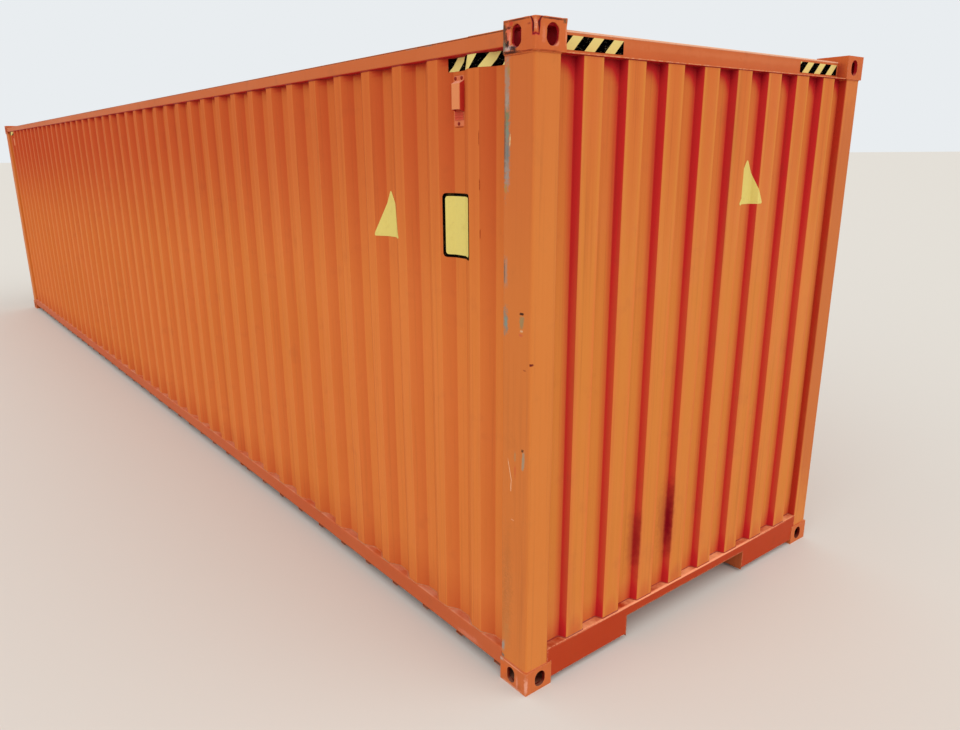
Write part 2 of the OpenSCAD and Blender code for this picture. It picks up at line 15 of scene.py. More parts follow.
import bmesh
import bpy
import numpy as np
from mathutils import Matrix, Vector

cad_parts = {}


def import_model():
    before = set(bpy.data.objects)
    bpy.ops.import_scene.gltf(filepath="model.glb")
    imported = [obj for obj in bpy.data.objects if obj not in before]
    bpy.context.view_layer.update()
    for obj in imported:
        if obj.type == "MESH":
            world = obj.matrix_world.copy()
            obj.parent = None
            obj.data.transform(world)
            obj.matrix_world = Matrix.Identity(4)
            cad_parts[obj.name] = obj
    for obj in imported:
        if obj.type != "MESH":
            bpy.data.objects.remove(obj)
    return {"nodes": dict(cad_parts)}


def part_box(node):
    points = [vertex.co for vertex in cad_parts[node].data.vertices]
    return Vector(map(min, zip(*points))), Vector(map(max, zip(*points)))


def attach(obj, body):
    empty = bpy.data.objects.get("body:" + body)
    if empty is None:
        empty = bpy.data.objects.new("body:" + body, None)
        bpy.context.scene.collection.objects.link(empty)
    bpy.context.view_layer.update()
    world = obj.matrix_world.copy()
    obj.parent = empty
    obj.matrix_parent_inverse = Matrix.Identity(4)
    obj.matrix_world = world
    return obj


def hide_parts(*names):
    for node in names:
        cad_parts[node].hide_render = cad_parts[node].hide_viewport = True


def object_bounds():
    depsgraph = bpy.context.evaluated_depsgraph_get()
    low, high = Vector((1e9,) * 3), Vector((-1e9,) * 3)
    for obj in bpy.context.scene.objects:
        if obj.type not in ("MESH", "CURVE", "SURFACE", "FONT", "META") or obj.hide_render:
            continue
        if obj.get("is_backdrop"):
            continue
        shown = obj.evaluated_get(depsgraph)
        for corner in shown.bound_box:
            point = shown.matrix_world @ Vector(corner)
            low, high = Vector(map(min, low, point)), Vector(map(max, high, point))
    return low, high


log = logging.getLogger("container")
Array = np.ndarray
Socket = bpy.types.NodeSocket
Value = Socket | float
Point = tuple[float, float, float]
Shift = Callable[[Array], Array]
Outline = Sequence[Sequence[float]]
SIDES = {"right": 1.0, "left": -1.0}
ENDS = ("front", "rear")
ORIGIN = (0.0, 0.0, 0.0)
UP = (0.0, 0.0, 1.0)
MIDDLE_GREY = (0.5, 0.5, 0.5, 1.0)


# Shapes


class Run(Enum):
    """The axis that a bent section is carried along, as (first axis, second axis, length axis)."""

    LENGTH = (1, 2, 0)
    WIDTH = (0, 2, 1)
    HEIGHT = (0, 1, 2)

    def place(self, path: Array, stations: Array) -> Array:
        """Carry a flat path along the axis.

        Args:
            path: Points of the section, two columns.
            stations: Places along the axis.

        Returns:
            An array (stations, path, 3): each row is the whole path at one station.
        """
        points = np.empty((len(stations), len(path), 3))
        points[:, :, self.value[0]] = path[:, 0]
        points[:, :, self.value[1]] = path[:, 1]
        points[:, :, self.value[2]] = np.asarray(stations)[:, None]
        return points


@dataclass
class Shell:
    """A closed surface: points, four-sided faces, flat many-sided caps and a painted shade value per point.
    """

    points: Array
    quads: Array
    caps: list[Array] = field(default_factory=list)
    painted_shade: Array | None = None

    def moved(self, by: Sequence[float]) -> Shell:
        """Return the shell shifted whole."""
        return Shell(self.points + by, self.quads, self.caps, self.painted_shade)

    def mirrored(self, x: float = 1.0, y: float = 1.0) -> Shell:
        """Return the shell with its X and Y multiplied by plus or minus one."""
        return Shell(self.points * (x, y, 1.0), self.quads, self.caps, self.painted_shade)

    def outward(self) -> Shell:
        """Return the shell with its faces turned outwards, by the sign of the volume that they enclose."""
        corner = (self.points - self.points.mean(0))[self.quads]
        first = np.cross(corner[:, 0], corner[:, 1])
        second = np.cross(corner[:, 0], corner[:, 2])
        volume = (first * corner[:, 2]).sum() + (second * corner[:, 3]).sum()
        if volume >= 0:
            return self
        return Shell(self.points, self.quads[:, ::-1], [cap[::-1] for cap in self.caps], self.painted_shade)

    @staticmethod
    def joined(shells: Sequence[Shell]) -> Shell:
        """Return one shell that holds all of them, each turned outwards first."""
        shells = [shell.outward() for shell in shells]
        starts = np.cumsum([0] + [len(shell.points) for shell in shells[:-1]])
        points = np.concatenate([shell.points for shell in shells])
        quads = np.concatenate([shell.quads + start for shell, start in zip(shells, starts)])
        caps = [cap + start for shell, start in zip(shells, starts) for cap in shell.caps]
        cover = [np.zeros(len(shell.points)) if shell.painted_shade is None else shell.painted_shade for shell in shells]
        return Shell(points, quads, caps, np.concatenate(cover))


def lattice(index: Array) -> Array:
    """Return the four-sided faces of a grid of point numbers."""
    return np.stack([index[:-1, :-1], index[:-1, 1:], index[1:, 1:], index[1:, :-1]], -1).reshape(-1, 4)


def closed_sheet(near: Array, far: Array, ring: bool = False, painted_shade: Array | None = None) -> Shell:
    """Close two facing grids into one thin solid.

    Args:
        near: Outer grid of points (rows, columns, 3).
        far: Inner grid of the same size.
        ring: True when the last column joins the first again.
        painted_shade: A painted shade value for each column or each grid point, given to both skins.

    Returns:
        The outer skin, the inner skin turned over, and strips of faces round their rims.
    """
    rows, columns = near.shape[:2]
    a, b = np.arange(2 * rows * columns).reshape(2, rows, columns)
    if ring:
        a, b = (np.concatenate([grid, grid[:, :1]], 1) for grid in (a, b))
    parts = [lattice(a), lattice(b)[:, ::-1]]
    parts += [lattice(np.stack([b[0], a[0]])), lattice(np.stack([a[-1], b[-1]]))]
    if not ring:
        parts += [lattice(np.stack([b[:, 0], a[:, 0]], 1)), lattice(np.stack([a[:, -1], b[:, -1]], 1))]
    values = None
    if painted_shade is not None:
        values = np.tile(np.broadcast_to(painted_shade, (rows, columns)).ravel(), 2)
    return Shell(np.concatenate([near.reshape(-1, 3), far.reshape(-1, 3)]), np.concatenate(parts), [], values)


def rounded(corners: Outline, radius: float | Array, steps: int = 4, ring: bool = False) -> Array:
    """Round the corners of a flat path.

    At each corner both legs are cut back by the radius times the tangent of half the turn, or by just
    under half a leg where that is shorter. A quadratic curve with the corner as its handle joins the cuts.

    Args:
        corners: Corner points, two columns.
        radius: Radius of the bend, or one for each corner.
        steps: Straight pieces in each bend.
        ring: True for an outline that closes on itself.

    Returns:
        The points of the rounded path.
    """
    corners = np.asarray(corners, float)
    before = np.roll(corners, 1, 0) - corners
    after = np.roll(corners, -1, 0) - corners
    length = np.stack([np.linalg.norm(before, axis=1), np.linalg.norm(after, axis=1)])
    before, after = before / length[0][:, None], after / length[1][:, None]
    turn = math.pi - np.arccos(np.clip((before * after).sum(1), -1, 1))
    cut = np.minimum(radius * np.tan(turn / 2), 0.49 * length.min(0))[:, None]
    t = np.linspace(0, 1, steps + 1)[None, :, None]
    start, handle, end = (corners + before * cut)[:, None], corners[:, None], (corners + after * cut)[:, None]
    curve = (1 - t) ** 2 * start + 2 * t * (1 - t) * handle + t**2 * end
    if ring:
        return curve.reshape(-1, 2)
    return np.concatenate([corners[:1], curve[1:-1].reshape(-1, 2), corners[-1:]])


def side_normals(path: Array, ring: bool = False) -> Array:
    """Return the unit normals of a flat path, a quarter turn left of its central differences."""
    step = np.roll(path, -1, 0) - np.roll(path, 1, 0) if ring else np.gradient(path, axis=0)
    across = np.stack([-step[:, 1], step[:, 0]], 1)
    return across / np.linalg.norm(across, axis=1, keepdims=True)


def bent_plate(
    path: Array, stations: Array, thickness: float, run: Run, ring: bool = False, shift: Shift | None = None,
    painted_shade: Array | None = None,
) -> Shell:
    """Carry a sheet section along an axis.

    The outer skin is the path at each station, and the inner skin is the path moved by the thickness
    along its own normals. A shift, worked out on the outer skin, moves both alike.

    Args:
        path: Outer line of the section, two columns.
        stations: Places along the run.
        thickness: Sheet thickness, to the left of the path, or to its right if negative.
        run: The axis it is carried along.
        ring: True for a closed tube.
        shift: Function from points to small movements.
        painted_shade: A painted shade value for each path point or grid point.

    Returns:
        The closed shell.
    """
    near = run.place(path, stations)
    far = run.place(path + side_normals(path, ring) * thickness, stations)
    if shift is not None:
        move = shift(near)
        near, far = near + move, far + move
    return closed_sheet(near, far, ring, painted_shade)


def ringed(points: Array) -> Shell:
    """Join a stack of rings (rings, points, 3) into a tube whose first and last rings are capped flat."""
    index = np.arange(points[:, :, 0].size).reshape(points.shape[:2])
    quads = lattice(np.concatenate([index, index[:, :1]], 1))
    return Shell(points.reshape(-1, 3), quads, [index[0][::-1], index[-1]])


def turned(profile: Outline, centre: Point, run: Run, sides: int = 24) -> Shell:
    """Turn a profile about an axis: a point is the centre plus radius times (cosine, sine) across the run.

    Args:
        profile: Pairs of radius and place along the run.
        centre: A point of the axis.
        run: The axis.
        sides: Points of each ring.

    Returns:
        The closed shell.
    """
    profile = np.asarray(profile, float)
    angle = np.arange(sides) * 2 * math.pi / sides
    points = np.empty((len(profile), sides, 3))
    points[:, :, run.value[0]] = centre[run.value[0]] + profile[:, :1] * np.cos(angle)
    points[:, :, run.value[1]] = centre[run.value[1]] + profile[:, :1] * np.sin(angle)
    points[:, :, run.value[2]] = centre[run.value[2]] + profile[:, 1:]
    return ringed(points).outward()


def weld_bead(path: Array, across: Array, up: Array, radius: float, sides: int = 5) -> Shell:
    """Lay a bead along a path.

    Each ring is the path point plus the radius times (cosine along the across vector, sine along the up
    vector), and the radius swells by a tenth in a slow wave.

    Args:
        path: Points of the path.
        across: The across vector of each point, or one for all.
        up: The up vector.
        radius: The bead's radius.
        sides: Points of each ring.

    Returns:
        The closed bead.
    """
    angle = np.arange(sides) * 2 * math.pi / sides + math.pi / sides
    swell = radius * (1 + 0.1 * np.sin(np.arange(len(path)) * 1.7))[:, None, None]
    ring = across[:, None] * np.cos(angle)[None, :, None] + up * np.sin(angle)[None, :, None]
    return ringed(path[:, None] + swell * ring).outward()


def level_bead(line: Array, z: float, radius: float, sign: float = 1.0) -> Shell:
    """Lay a bead along a flat line at one height, across to the line's right, or to its left by the sign."""
    across = np.concatenate([-sign * side_normals(line), np.zeros((len(line), 1))], 1)
    return weld_bead(np.concatenate([line, np.full((len(line), 1), z)], 1), across, np.array(UP), radius)


def ripple(points: Array, reach: float, seed: int, terms: int = 7) -> Array:
    """Return a smooth random wave between about -1 and 1 at each point.

    It is the mean of sines whose directions, phases and lengths near the reach come from a seeded
    generator, scaled up by the root of their number.

    Args:
        points: The points.
        reach: The usual wave length.
        seed: The generator's seed.
        terms: The number of sines.

    Returns:
        A value for each point.
    """
    draw = np.random.default_rng(seed)
    direction = draw.normal(size=(terms, 3))
    waves = 2 * math.pi / reach / draw.uniform(0.7, 1.6, terms)
    direction *= (waves / np.linalg.norm(direction, axis=1))[:, None]
    phase = draw.uniform(0, 2 * math.pi, terms)
    return np.sin(points @ direction.T + phase).sum(-1) / math.sqrt(terms)


@dataclass(frozen=True)
class Dent:
    """A shallow bruise: a movement that fades as the bell curve of the distance over the reach."""

    at: Point
    reach: Point
    push: Point

    def move(self, points: Array) -> Array:
        """Return the movement at each point."""
        distance = (((points - self.at) / self.reach) ** 2).sum(-1)
        return np.exp(-distance)[..., None] * np.asarray(self.push)


@dataclass(frozen=True)
class Wave:
    """A sheet's unevenness: a ripple along one axis."""

    axis: int
    height: float
    reach: float
    seed: int

    def along(self, sign: float = 1.0, dents: Sequence[Dent] = ()) -> Shift:
        """Return a function that moves points by the ripple, seeded for the side, and by every dent."""

        def shift(points: Array) -> Array:
            """Return the movement at each point."""
            move = np.zeros_like(points)
            move[..., self.axis] = self.height * ripple(points, self.reach, self.seed + (sign < 0))
            for dent in dents:
                move += dent.move(points)
            return move

        return shift


# Shader building


class Wiring:
    """Adds nodes to one node tree and joins them."""

    def __init__(self, tree: bpy.types.NodeTree) -> None:
        """Keep the tree."""
        self.tree = tree

    def feed(self, entry: Socket, value: Value | Sequence[float]) -> None:
        """Join a socket to an entry, or set the entry's own value."""
        if isinstance(value, bpy.types.NodeSocket):
            self.tree.links.new(value, entry)
        else:
            entry.default_value = value

    def node(self, kind: str, **settings: object) -> bpy.types.Node:
        """Add a node and set its properties."""
        node = self.tree.nodes.new(kind)
        for name, value in settings.items():
            setattr(node, name, value)
        return node

    def fed(self, kind: str, entries: Sequence[object], **settings: object) -> bpy.types.NodeOutputs:
        """Add a node, feed its first entries in order, and return its outputs."""
        node = self.node(kind, **settings)
        for entry, value in zip(node.inputs, entries):
            self.feed(entry, value)
        return node.outputs

    def math(self, operation: str, a: Value, b: Value, clamp: bool = False) -> Socket:
        """Return the result of an operation on two values, cut to 0..1 on demand."""
        return self.fed("ShaderNodeMath", (a, b), operation=operation, use_clamp=clamp)[0]

    def times(self, a: Value, b: Value, clamp: bool = False) -> Socket:
        """Return the product of two values."""
        return self.math("MULTIPLY", a, b, clamp)

    def plus(self, a: Value, b: Value, clamp: bool = False) -> Socket:
        """Return the sum of two values."""
        return self.math("ADD", a, b, clamp)

    def less(self, a: Value, b: Value, clamp: bool = False) -> Socket:
        """Return the first value less the second."""
        return self.math("SUBTRACT", a, b, clamp)

    def vector(self, operation: str, a: Socket | Point, b: Socket | Point) -> Socket:
        """Return the vector result of two vectors, or the value of a dot product."""
        outputs = self.fed("ShaderNodeVectorMath", (a, b), operation=operation)
        return outputs["Value" if operation == "DOT_PRODUCT" else "Vector"]

    def facing(self, way: Point) -> Socket:
        """Return the cosine between the surface's normal and a direction."""
        return self.vector("DOT_PRODUCT", self.node("ShaderNodeNewGeometry").outputs["Normal"], way)

    def mix(self, share: Value, a: Socket | Sequence[float], b: Socket | Sequence[float]) -> Socket:
        """Return colour a changed into colour b by the share."""
        node = self.node("ShaderNodeMix", data_type="RGBA")
        for number, value in ((0, share), (6, a), (7, b)):
            self.feed(node.inputs[number], value)
        return node.outputs[2]

    def noise(self, at: Socket, scale: Value, detail: float = 2.0, rough: float = 0.5) -> Socket:
        """Return a noise value at the place."""
        noise = self.fill("ShaderNodeTexNoise", Vector=at, Scale=scale, Detail=detail, Roughness=rough)
        return noise.outputs[0]

    def step(self, value: Socket, low: Value, high: Value, top: Value = 1.0) -> Socket:
        """Return a smooth rise from 0 at low to the top at high."""
        entries = (value, low, high, 0.0, top)
        return self.fed("ShaderNodeMapRange", entries, interpolation_type="SMOOTHSTEP")[0]

    def fill(self, kind: str, **values: object) -> bpy.types.Node:
        """Add a node and feed its entries by name."""
        node = self.node(kind)
        for name, value in values.items():
            self.feed(node.inputs[name], value)
        return node


def colour(code: str) -> tuple[float, float, float, float]:
    """Return the linear colour of a six digit code.

    Each channel c in 0..1 becomes c / 12.92 up to 0.04045, and ((c + 0.055) / 1.055) to the power 2.4 above.
    """
    channels = [int(code[i : i + 2], 16) / 255 for i in (1, 3, 5)]
    return (*[c / 12.92 if c <= 0.04045 else ((c + 0.055) / 1.055) ** 2.4 for c in channels], 1.0)


def effect_group(
    name: str, entries: dict[str, object], exits: Sequence[str]
) -> tuple[Wiring, dict[str, Socket], dict[str, Socket]]:
    """Start a shared effect as a shader node group.

    Args:
        name: The group's name.
        entries: Each input's name with its first value: a number, a colour or a three part vector.
        exits: Each output's name. Colour is a colour and any other is a number.

    Returns:
        The group's wiring, its inputs by name, and its outputs by name.
    """
    tree = bpy.data.node_groups.new(name, "ShaderNodeTree")
    number, shade = "NodeSocketFloat", "NodeSocketColor"
    kinds = {0: number, 3: "NodeSocketVector", 4: shade}
    for label, value in entries.items():
        kind = kinds[len(value) if isinstance(value, tuple) else 0]
        tree.interface.new_socket(name=label, in_out="INPUT", socket_type=kind).default_value = value
    for label in exits:
        kind = shade if label == "Colour" else number
        tree.interface.new_socket(name=label, in_out="OUTPUT", socket_type=kind)
    wiring = Wiring(tree)
    source, target = wiring.node("NodeGroupInput"), wiring.node("NodeGroupOutput")
    return wiring, {s.name: s for s in source.outputs if s.name}, {s.name: s for s in target.inputs if s.name}


class Effects:
    """The shared shader effects, each built once."""

    def __init__(self) -> None:
        """Build every effect."""
        self.weather = self.build_weather()
        self.wear = self.build_wear()
        self.mark = self.build_mark()
        self.stripes = self.build_stripes()

    def build_weather(self) -> bpy.types.NodeTree:
        """Old paint: slow fading, finer blotches, streaks of rain down the faces, grime, and dust with
        painted top light on top.

        The fade is a slow noise. A streak is a noise squeezed in X and Y so that it is long in Z. Dust
        lies where the surface looks up, broken by a finer noise; a pale dust colour also paints those top
        faces lighter, as painted top light.
        """
        colours = dict.fromkeys(("Paint", "Faded", "Grime", "Dust"), MIDDLE_GREY)
        entries = {"Place": ORIGIN, **colours, "Fade": 0.5, "Streaks": 0.3, "Dirt": 0.2, "Dusty": 0.3}
        wire, inputs, outputs = effect_group("old paint", entries, ("Colour", "Roughness", "Height"))
        place, grime, faded = (inputs[name] for name in ("Place", "Grime", "Faded"))
        slow = wire.noise(place, 0.9, 3)
        blotch = wire.noise(place, 7.0, 5, 0.6)
        fine = wire.noise(place, 120.0, 3, 0.6)
        streak = wire.noise(wire.vector("MULTIPLY", place, (16.0, 16.0, 0.7)), 1.0, 4, 0.65)
        thin = wire.noise(wire.vector("MULTIPLY", place, (75.0, 75.0, 1.1)), 1.0, 2)
        fade = wire.plus(slow, wire.times(wire.less(blotch, 0.5), 0.5))
        shade = wire.mix(wire.times(wire.step(fade, 0.3, 0.7), inputs["Fade"]), inputs["Paint"], faded)
        for noise, low, high, share, code in (
            (streak, 0.56, 0.78, 1.0, grime),
            (streak, 0.42, 0.22, 0.5, faded),
            (thin, 0.52, 0.8, 1.0, grime),
            (thin, 0.48, 0.25, 1.0, faded),
        ):
            runs = wire.times(wire.step(noise, low, high), wire.times(inputs["Streaks"], share))
            shade = wire.mix(runs, shade, code)
        shade = wire.mix(wire.times(wire.step(blotch, 0.55, 0.75), inputs["Dirt"]), shade, grime)
        # Dust on the faces that look up; with a pale dust colour this is also painted top light.
        top_dust_and_light = wire.times(wire.step(wire.facing(UP), 0.35, 0.95), wire.step(blotch, 0.3, 0.65))
        top_dust_and_light = wire.times(top_dust_and_light, inputs["Dusty"])
        shade = wire.mix(top_dust_and_light, shade, inputs["Dust"])
        speck = wire.times(wire.step(fine, 0.66, 0.74), wire.times(inputs["Dirt"], 0.6))
        wire.feed(outputs["Colour"], wire.mix(speck, shade, grime))
        rough = wire.plus(0.5, wire.times(blotch, 0.2))
        wire.feed(outputs["Roughness"], wire.plus(rough, wire.times(top_dust_and_light, 0.3), True))
        wire.feed(outputs["Height"], wire.plus(wire.times(fine, 0.35), blotch))
        return wire.tree

    def build_wear(self) -> bpy.types.NodeTree:
        """Worn edges: where a rounded normal and the true one part by more than a broken threshold."""
        entries = {"Place": ORIGIN, "Reach": 0.004, "Share": 0.5, "Grain": 45.0}
        wire, inputs, outputs = effect_group("worn edges", entries, ("Mask",))
        bevel = wire.fed("ShaderNodeBevel", (inputs["Reach"],), samples=4)[0]
        edge = wire.less(1.0, wire.facing(bevel))
        broken = wire.noise(inputs["Place"], inputs["Grain"], 4, 0.7)
        edge = wire.times(wire.step(edge, 0.01, 0.16), wire.step(broken, 0.4, 0.62))
        wire.feed(outputs["Mask"], wire.times(edge, inputs["Share"], True))
        return wire.tree

    def build_mark(self) -> bpy.types.NodeTree:
        """One local mark: a rounded box with ragged sides, leaned by its drift, and eaten by a finer noise.

        The place is measured from the centre in half sizes. The distance is the fourth root of the sum
        of its parts' fourth powers, plus two noises, and the mark fades out as the distance passes 1.
        """
        points = dict.fromkeys(("Place", "At", "Half", "Drift"), ORIGIN)
        entries = {**points, "Grain": 40.0, "Ragged": 0.6, "Soft": 0.3, "Eaten": 0.4, "Share": 1.0}
        wire, inputs, outputs = effect_group("local mark", entries, ("Mask",))
        place, grain, eaten = (inputs[name] for name in ("Place", "Grain", "Eaten"))
        offset = wire.vector("SUBTRACT", place, inputs["At"])
        rise = wire.vector("DOT_PRODUCT", offset, UP)
        rise = wire.fed("ShaderNodeCombineXYZ", (rise, rise, rise))[0]
        offset = wire.vector("SUBTRACT", offset, wire.vector("MULTIPLY", inputs["Drift"], rise))
        offset = wire.vector("DIVIDE", offset, inputs["Half"])
        square = wire.vector("MULTIPLY", offset, offset)
        far = wire.math("POWER", wire.vector("DOT_PRODUCT", square, square), 0.25)
        finer = wire.noise(place, wire.times(grain, 2.7), 3, 0.6)
        rough = wire.less(wire.plus(wire.noise(place, grain, 4, 0.65), finer), 1.0)
        far = wire.plus(far, wire.times(rough, wire.times(inputs["Ragged"], 1.8)))
        inside = wire.step(far, 1.0, wire.less(1.0, inputs["Soft"]))
        kept = wire.step(finer, wire.times(eaten, 0.9), wire.plus(eaten, 0.12))
        wire.feed(outputs["Mask"], wire.times(inside, wire.times(inputs["Share"], kept), True))
        return wire.tree

    def build_stripes(self) -> bpy.types.NodeTree:
        """Slanting stripes: the saw tooth of (across less up times the lean) over the pitch, cut in half."""
        entries = {"Across": ORIGIN, "Pitch": 0.12, "Lean": 1.0}
        wire, inputs, outputs = effect_group("slanting stripes", entries, ("Mask",))
        across, up, _ = wire.fed("ShaderNodeSeparateXYZ", (inputs["Across"],))
        line = wire.less(across, wire.times(up, inputs["Lean"]))
        saw = wire.math("FRACT", wire.math("DIVIDE", line, inputs["Pitch"]), 0.0)
        wire.feed(outputs["Mask"], wire.step(saw, 0.495, 0.505))
        return wire.tree


class Coat(Wiring):
    """The wiring of one material: its shader, the place on the piece and the shared effects."""

    def __init__(self, material: bpy.types.Material, effects: Effects) -> None:
        """Clear the material and set its shader."""
        material.use_nodes = True
        material.node_tree.nodes.clear()
        super().__init__(material.node_tree)
        self.effects = effects
        self.shader = self.node("ShaderNodeBsdfPrincipled")
        self.fed("ShaderNodeOutputMaterial", (self.shader.outputs[0],))
        self.where = self.node("ShaderNodeTexCoord").outputs["Object"]

    def set(self, **values: object) -> None:
        """Feed the shader's entries, named with underscores for spaces."""
        for name, value in values.items():
            self.feed(self.shader.inputs[name.replace("_", " ")], value)

    def place(self, effect: bpy.types.NodeTree, **values: object) -> bpy.types.NodeOutputs:
        """Add an effect's node group, feed its entries by name and its place, and return its outputs."""
        node = self.node("ShaderNodeGroup", node_tree=effect)
        for name, value in values.items():
            self.feed(node.inputs[name], value)
        if "Place" in node.inputs:
            self.feed(node.inputs["Place"], self.where)
        return node.outputs

    def surface(
        self, shade: Socket, rough: Socket, height: Socket, depth: float, strength: float = 0.5
    ) -> None:
        """Feed the shader's colour and roughness, and turn a height of that depth into its normal."""
        bump = self.fill("ShaderNodeBump", Distance=depth, Strength=strength, Height=height)
        self.set(Base_Color=shade, Roughness=rough, Normal=bump.outputs[0])


@dataclass(frozen=True)
class Mark:
    """A local scrape, stain or chip on a finish, or a patch of painted shade or painted highlight. Its
    fields, but for the code, are its effect's entries.
    """

    at: Point
    half: Point
    code: str
    grain: float = 40.0
    ragged: float = 0.6
    soft: float = 0.3
    eaten: float = 0.4
    share: float = 1.0
    drift: Point = ORIGIN


@dataclass(frozen=True)
class Face:
    """An upright face with marks on it: the axis it looks along, its place there and the marks' depth."""

    axis: int
    level: float
    depth: float

    def marks(self, *rows: tuple | Mark) -> tuple[Mark, ...]:
        """Return the marks of a table, in its order.

        A row holds the place along the face, the height, half the width, half the height and the
        colour, then a mark's grain, raggedness, softness, eaten part and share, and last how far it
        leans along the face over its height. A whole mark is kept as it is.
        """
        marks = []
        for row in rows:
            if not isinstance(row, Mark):
                place, z, half, half_z, code, *rest = row
                lean = rest.pop() if len(rest) > 5 else 0.0
                parts = (self.level, place, z), (self.depth, half, half_z), (0.0, lean, 0.0)
                if self.axis == 1:
                    parts = [(b, a, c) for a, b, c in parts]
                row = Mark(parts[0], parts[1], code, *rest, drift=parts[2])
            marks.append(row)
        return tuple(marks)


class Slot(Enum):
    """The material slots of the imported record."""

    CASTING = "casting_paint"
    FRAME = "frame_paint"
    WALL = "wall_paint"
    ROOF = "roof_paint"
    UNDERFRAME = "underframe_paint"
    DOOR = "door_paint"
    BAR = "bar_paint"
    ZINC = "zinc_fittings"
    SEAL = "seal_rubber"
    FLOOR = "plywood"


@dataclass(frozen=True)
class Finish:
    """What every finish has: a name, the record's slot and a way to build its material."""

    name: str
    slot: Slot

    def dress(self, coat: Coat) -> None:
        """Feed the coat's shader."""
        raise NotImplementedError

    def material(self, effects: Effects) -> bpy.types.Material:
        """Build the material around one Principled shader and the shared effects."""
        material = bpy.data.materials.new(self.name)
        self.dress(Coat(material, effects))
        return material


@dataclass(frozen=True)
class Paint(Finish):
    """Weathered paint on steel, with worn edges and local marks. The painted_shade attribute paints shade: it
    reddens the paint up to 1 and deepens it from 1 to 2, and below 0 it lightens it as a painted highlight.
    Undersides get painted shade by the under value."""

    paint: str = "#D27634"
    faded: str = "#DB8440"
    # The sheltered and deep colours are painted shade, the deep one where the shade is darkest, and the light
    # colour is a painted highlight.
    sheltered: str = "#B5322A"
    deep: str = "#8E0A14"
    light: str = "#E07C56"
    grime: str = "#7A3B22"
    dust: str = "#B9A48C"
    bare: str = "#E59A62"
    fade: float = 0.5
    streaks: float = 0.14
    dirt: float = 0.1
    dusty: float = 0.35
    wear: float = 0.5
    reach: float = 0.004
    grain: float = 45.0
    relief: float = 0.0006
    sheen: float = 0.16
    # Painted shade on faces that look down.
    under: float = 0.0
    marks: tuple[Mark, ...] = ()

    def dress(self, coat: Coat) -> None:
        """Feed colour, roughness and normal from the weather, the wear and each mark in turn."""
        # Painted shade and painted highlight: the attribute, raised on downward faces, mixes in the shade
        # colours above 0 and the light colour below 0.
        painted_shade = coat.node("ShaderNodeAttribute", attribute_name="painted_shade").outputs["Fac"]
        if self.under:
            down = coat.step(coat.facing((0.0, 0.0, -1.0)), 0.3, 0.9, self.under)
            painted_shade = coat.math("MAXIMUM", painted_shade, down)
        deep, light = coat.less(painted_shade, 1.0, True), coat.times(painted_shade, -1.0, True)
        shades = []
        for code in (self.paint, self.faded):
            shade = coat.mix(coat.plus(painted_shade, 0.0, True), colour(code), colour(self.sheltered))
            shades.append(coat.mix(light, coat.mix(deep, shade, colour(self.deep)), colour(self.light)))
        weather = coat.place(
            coat.effects.weather, Paint=shades[0], Faded=shades[1], Grime=colour(self.grime),
            Dust=colour(self.dust), Fade=self.fade, Streaks=self.streaks, Dirt=self.dirt, Dusty=self.dusty,
        )
        shade = weather["Colour"]
        if self.wear:
            share = coat.times(coat.less(1.0, painted_shade, True), self.wear)
            worn = coat.place(coat.effects.wear, Reach=self.reach, Share=share, Grain=self.grain)[0]
            shade = coat.mix(worn, shade, colour(self.bare))
        for mark in self.marks:
            values = {name.title(): value for name, value in vars(mark).items() if name != "code"}
            shade = coat.mix(coat.place(coat.effects.mark, **values)[0], shade, colour(mark.code))
        coat.surface(shade, weather["Roughness"], weather["Height"], self.relief)
        coat.set(Specular_IOR_Level=self.sheen)


@dataclass(frozen=True)
class Zinc(Finish):
    """Dull galvanised steel with spangle and rust in its scratches."""

    metal: str = "#9A9EA0"
    dark: str = "#6E7274"
    rust: str = "#7E4A2C"

    def dress(self, coat: Coat) -> None:
        """Feed a spangled grey, rust on worn edges, and a rough, partly metallic surface."""
        spangle = coat.fill("ShaderNodeTexVoronoi", Scale=90.0, Vector=coat.where).outputs["Distance"]
        blotch = coat.noise(coat.where, 14.0, 5, 0.65)
        shade = coat.mix(coat.step(spangle, 0.1, 0.7), colour(self.metal), colour(self.dark))
        worn = coat.place(coat.effects.wear, Reach=0.003, Share=0.7, Grain=70.0)[0]
        rust = coat.plus(worn, coat.step(blotch, 0.58, 0.7, 0.8), True)
        rough = coat.plus(0.42, coat.times(blotch, 0.4), True)
        coat.surface(coat.mix(rust, shade, colour(self.rust)), rough, blotch, 0.0006, 0.4)
        coat.set(Metallic=coat.less(0.65, rust, True))


@dataclass(frozen=True)
class Rubber(Finish):
    """Weathered black rubber."""

    black: str = "#2A2A2C"
    bloom: str = "#4A4846"

    def dress(self, coat: Coat) -> None:
        """Feed a black with a dusty bloom, and a fine ribbed grain."""
        bloom = coat.noise(coat.where, 9.0, 5, 0.6)
        grain = coat.noise(coat.vector("MULTIPLY", coat.where, (1.0, 1.0, 0.1)), 300.0, 2)
        shade = coat.mix(coat.step(bloom, 0.45, 0.7), colour(self.black), colour(self.bloom))
        coat.surface(shade, coat.plus(0.55, coat.times(bloom, 0.35), True), grain, 0.0004)


@dataclass(frozen=True)
class Plywood(Finish):
    """Scuffed plywood with its grain along X."""

    light: str = "#A0774D"
    dark: str = "#6B4A2E"
    scuffed: str = "#4E4236"

    def dress(self, coat: Coat) -> None:
        """Feed long bands of grain, scuffs and a dry surface."""
        grain = coat.noise(coat.vector("MULTIPLY", coat.where, (0.6, 14.0, 14.0)), 3.0, 6, 0.7)
        scuff = coat.noise(coat.where, 5.0, 4)
        shade = coat.mix(coat.step(grain, 0.38, 0.66), colour(self.light), colour(self.dark))
        shade = coat.mix(coat.step(scuff, 0.55, 0.8, 0.6), shade, colour(self.scuffed))
        coat.surface(shade, coat.plus(0.6, coat.times(scuff, 0.3), True), grain, 0.0006)


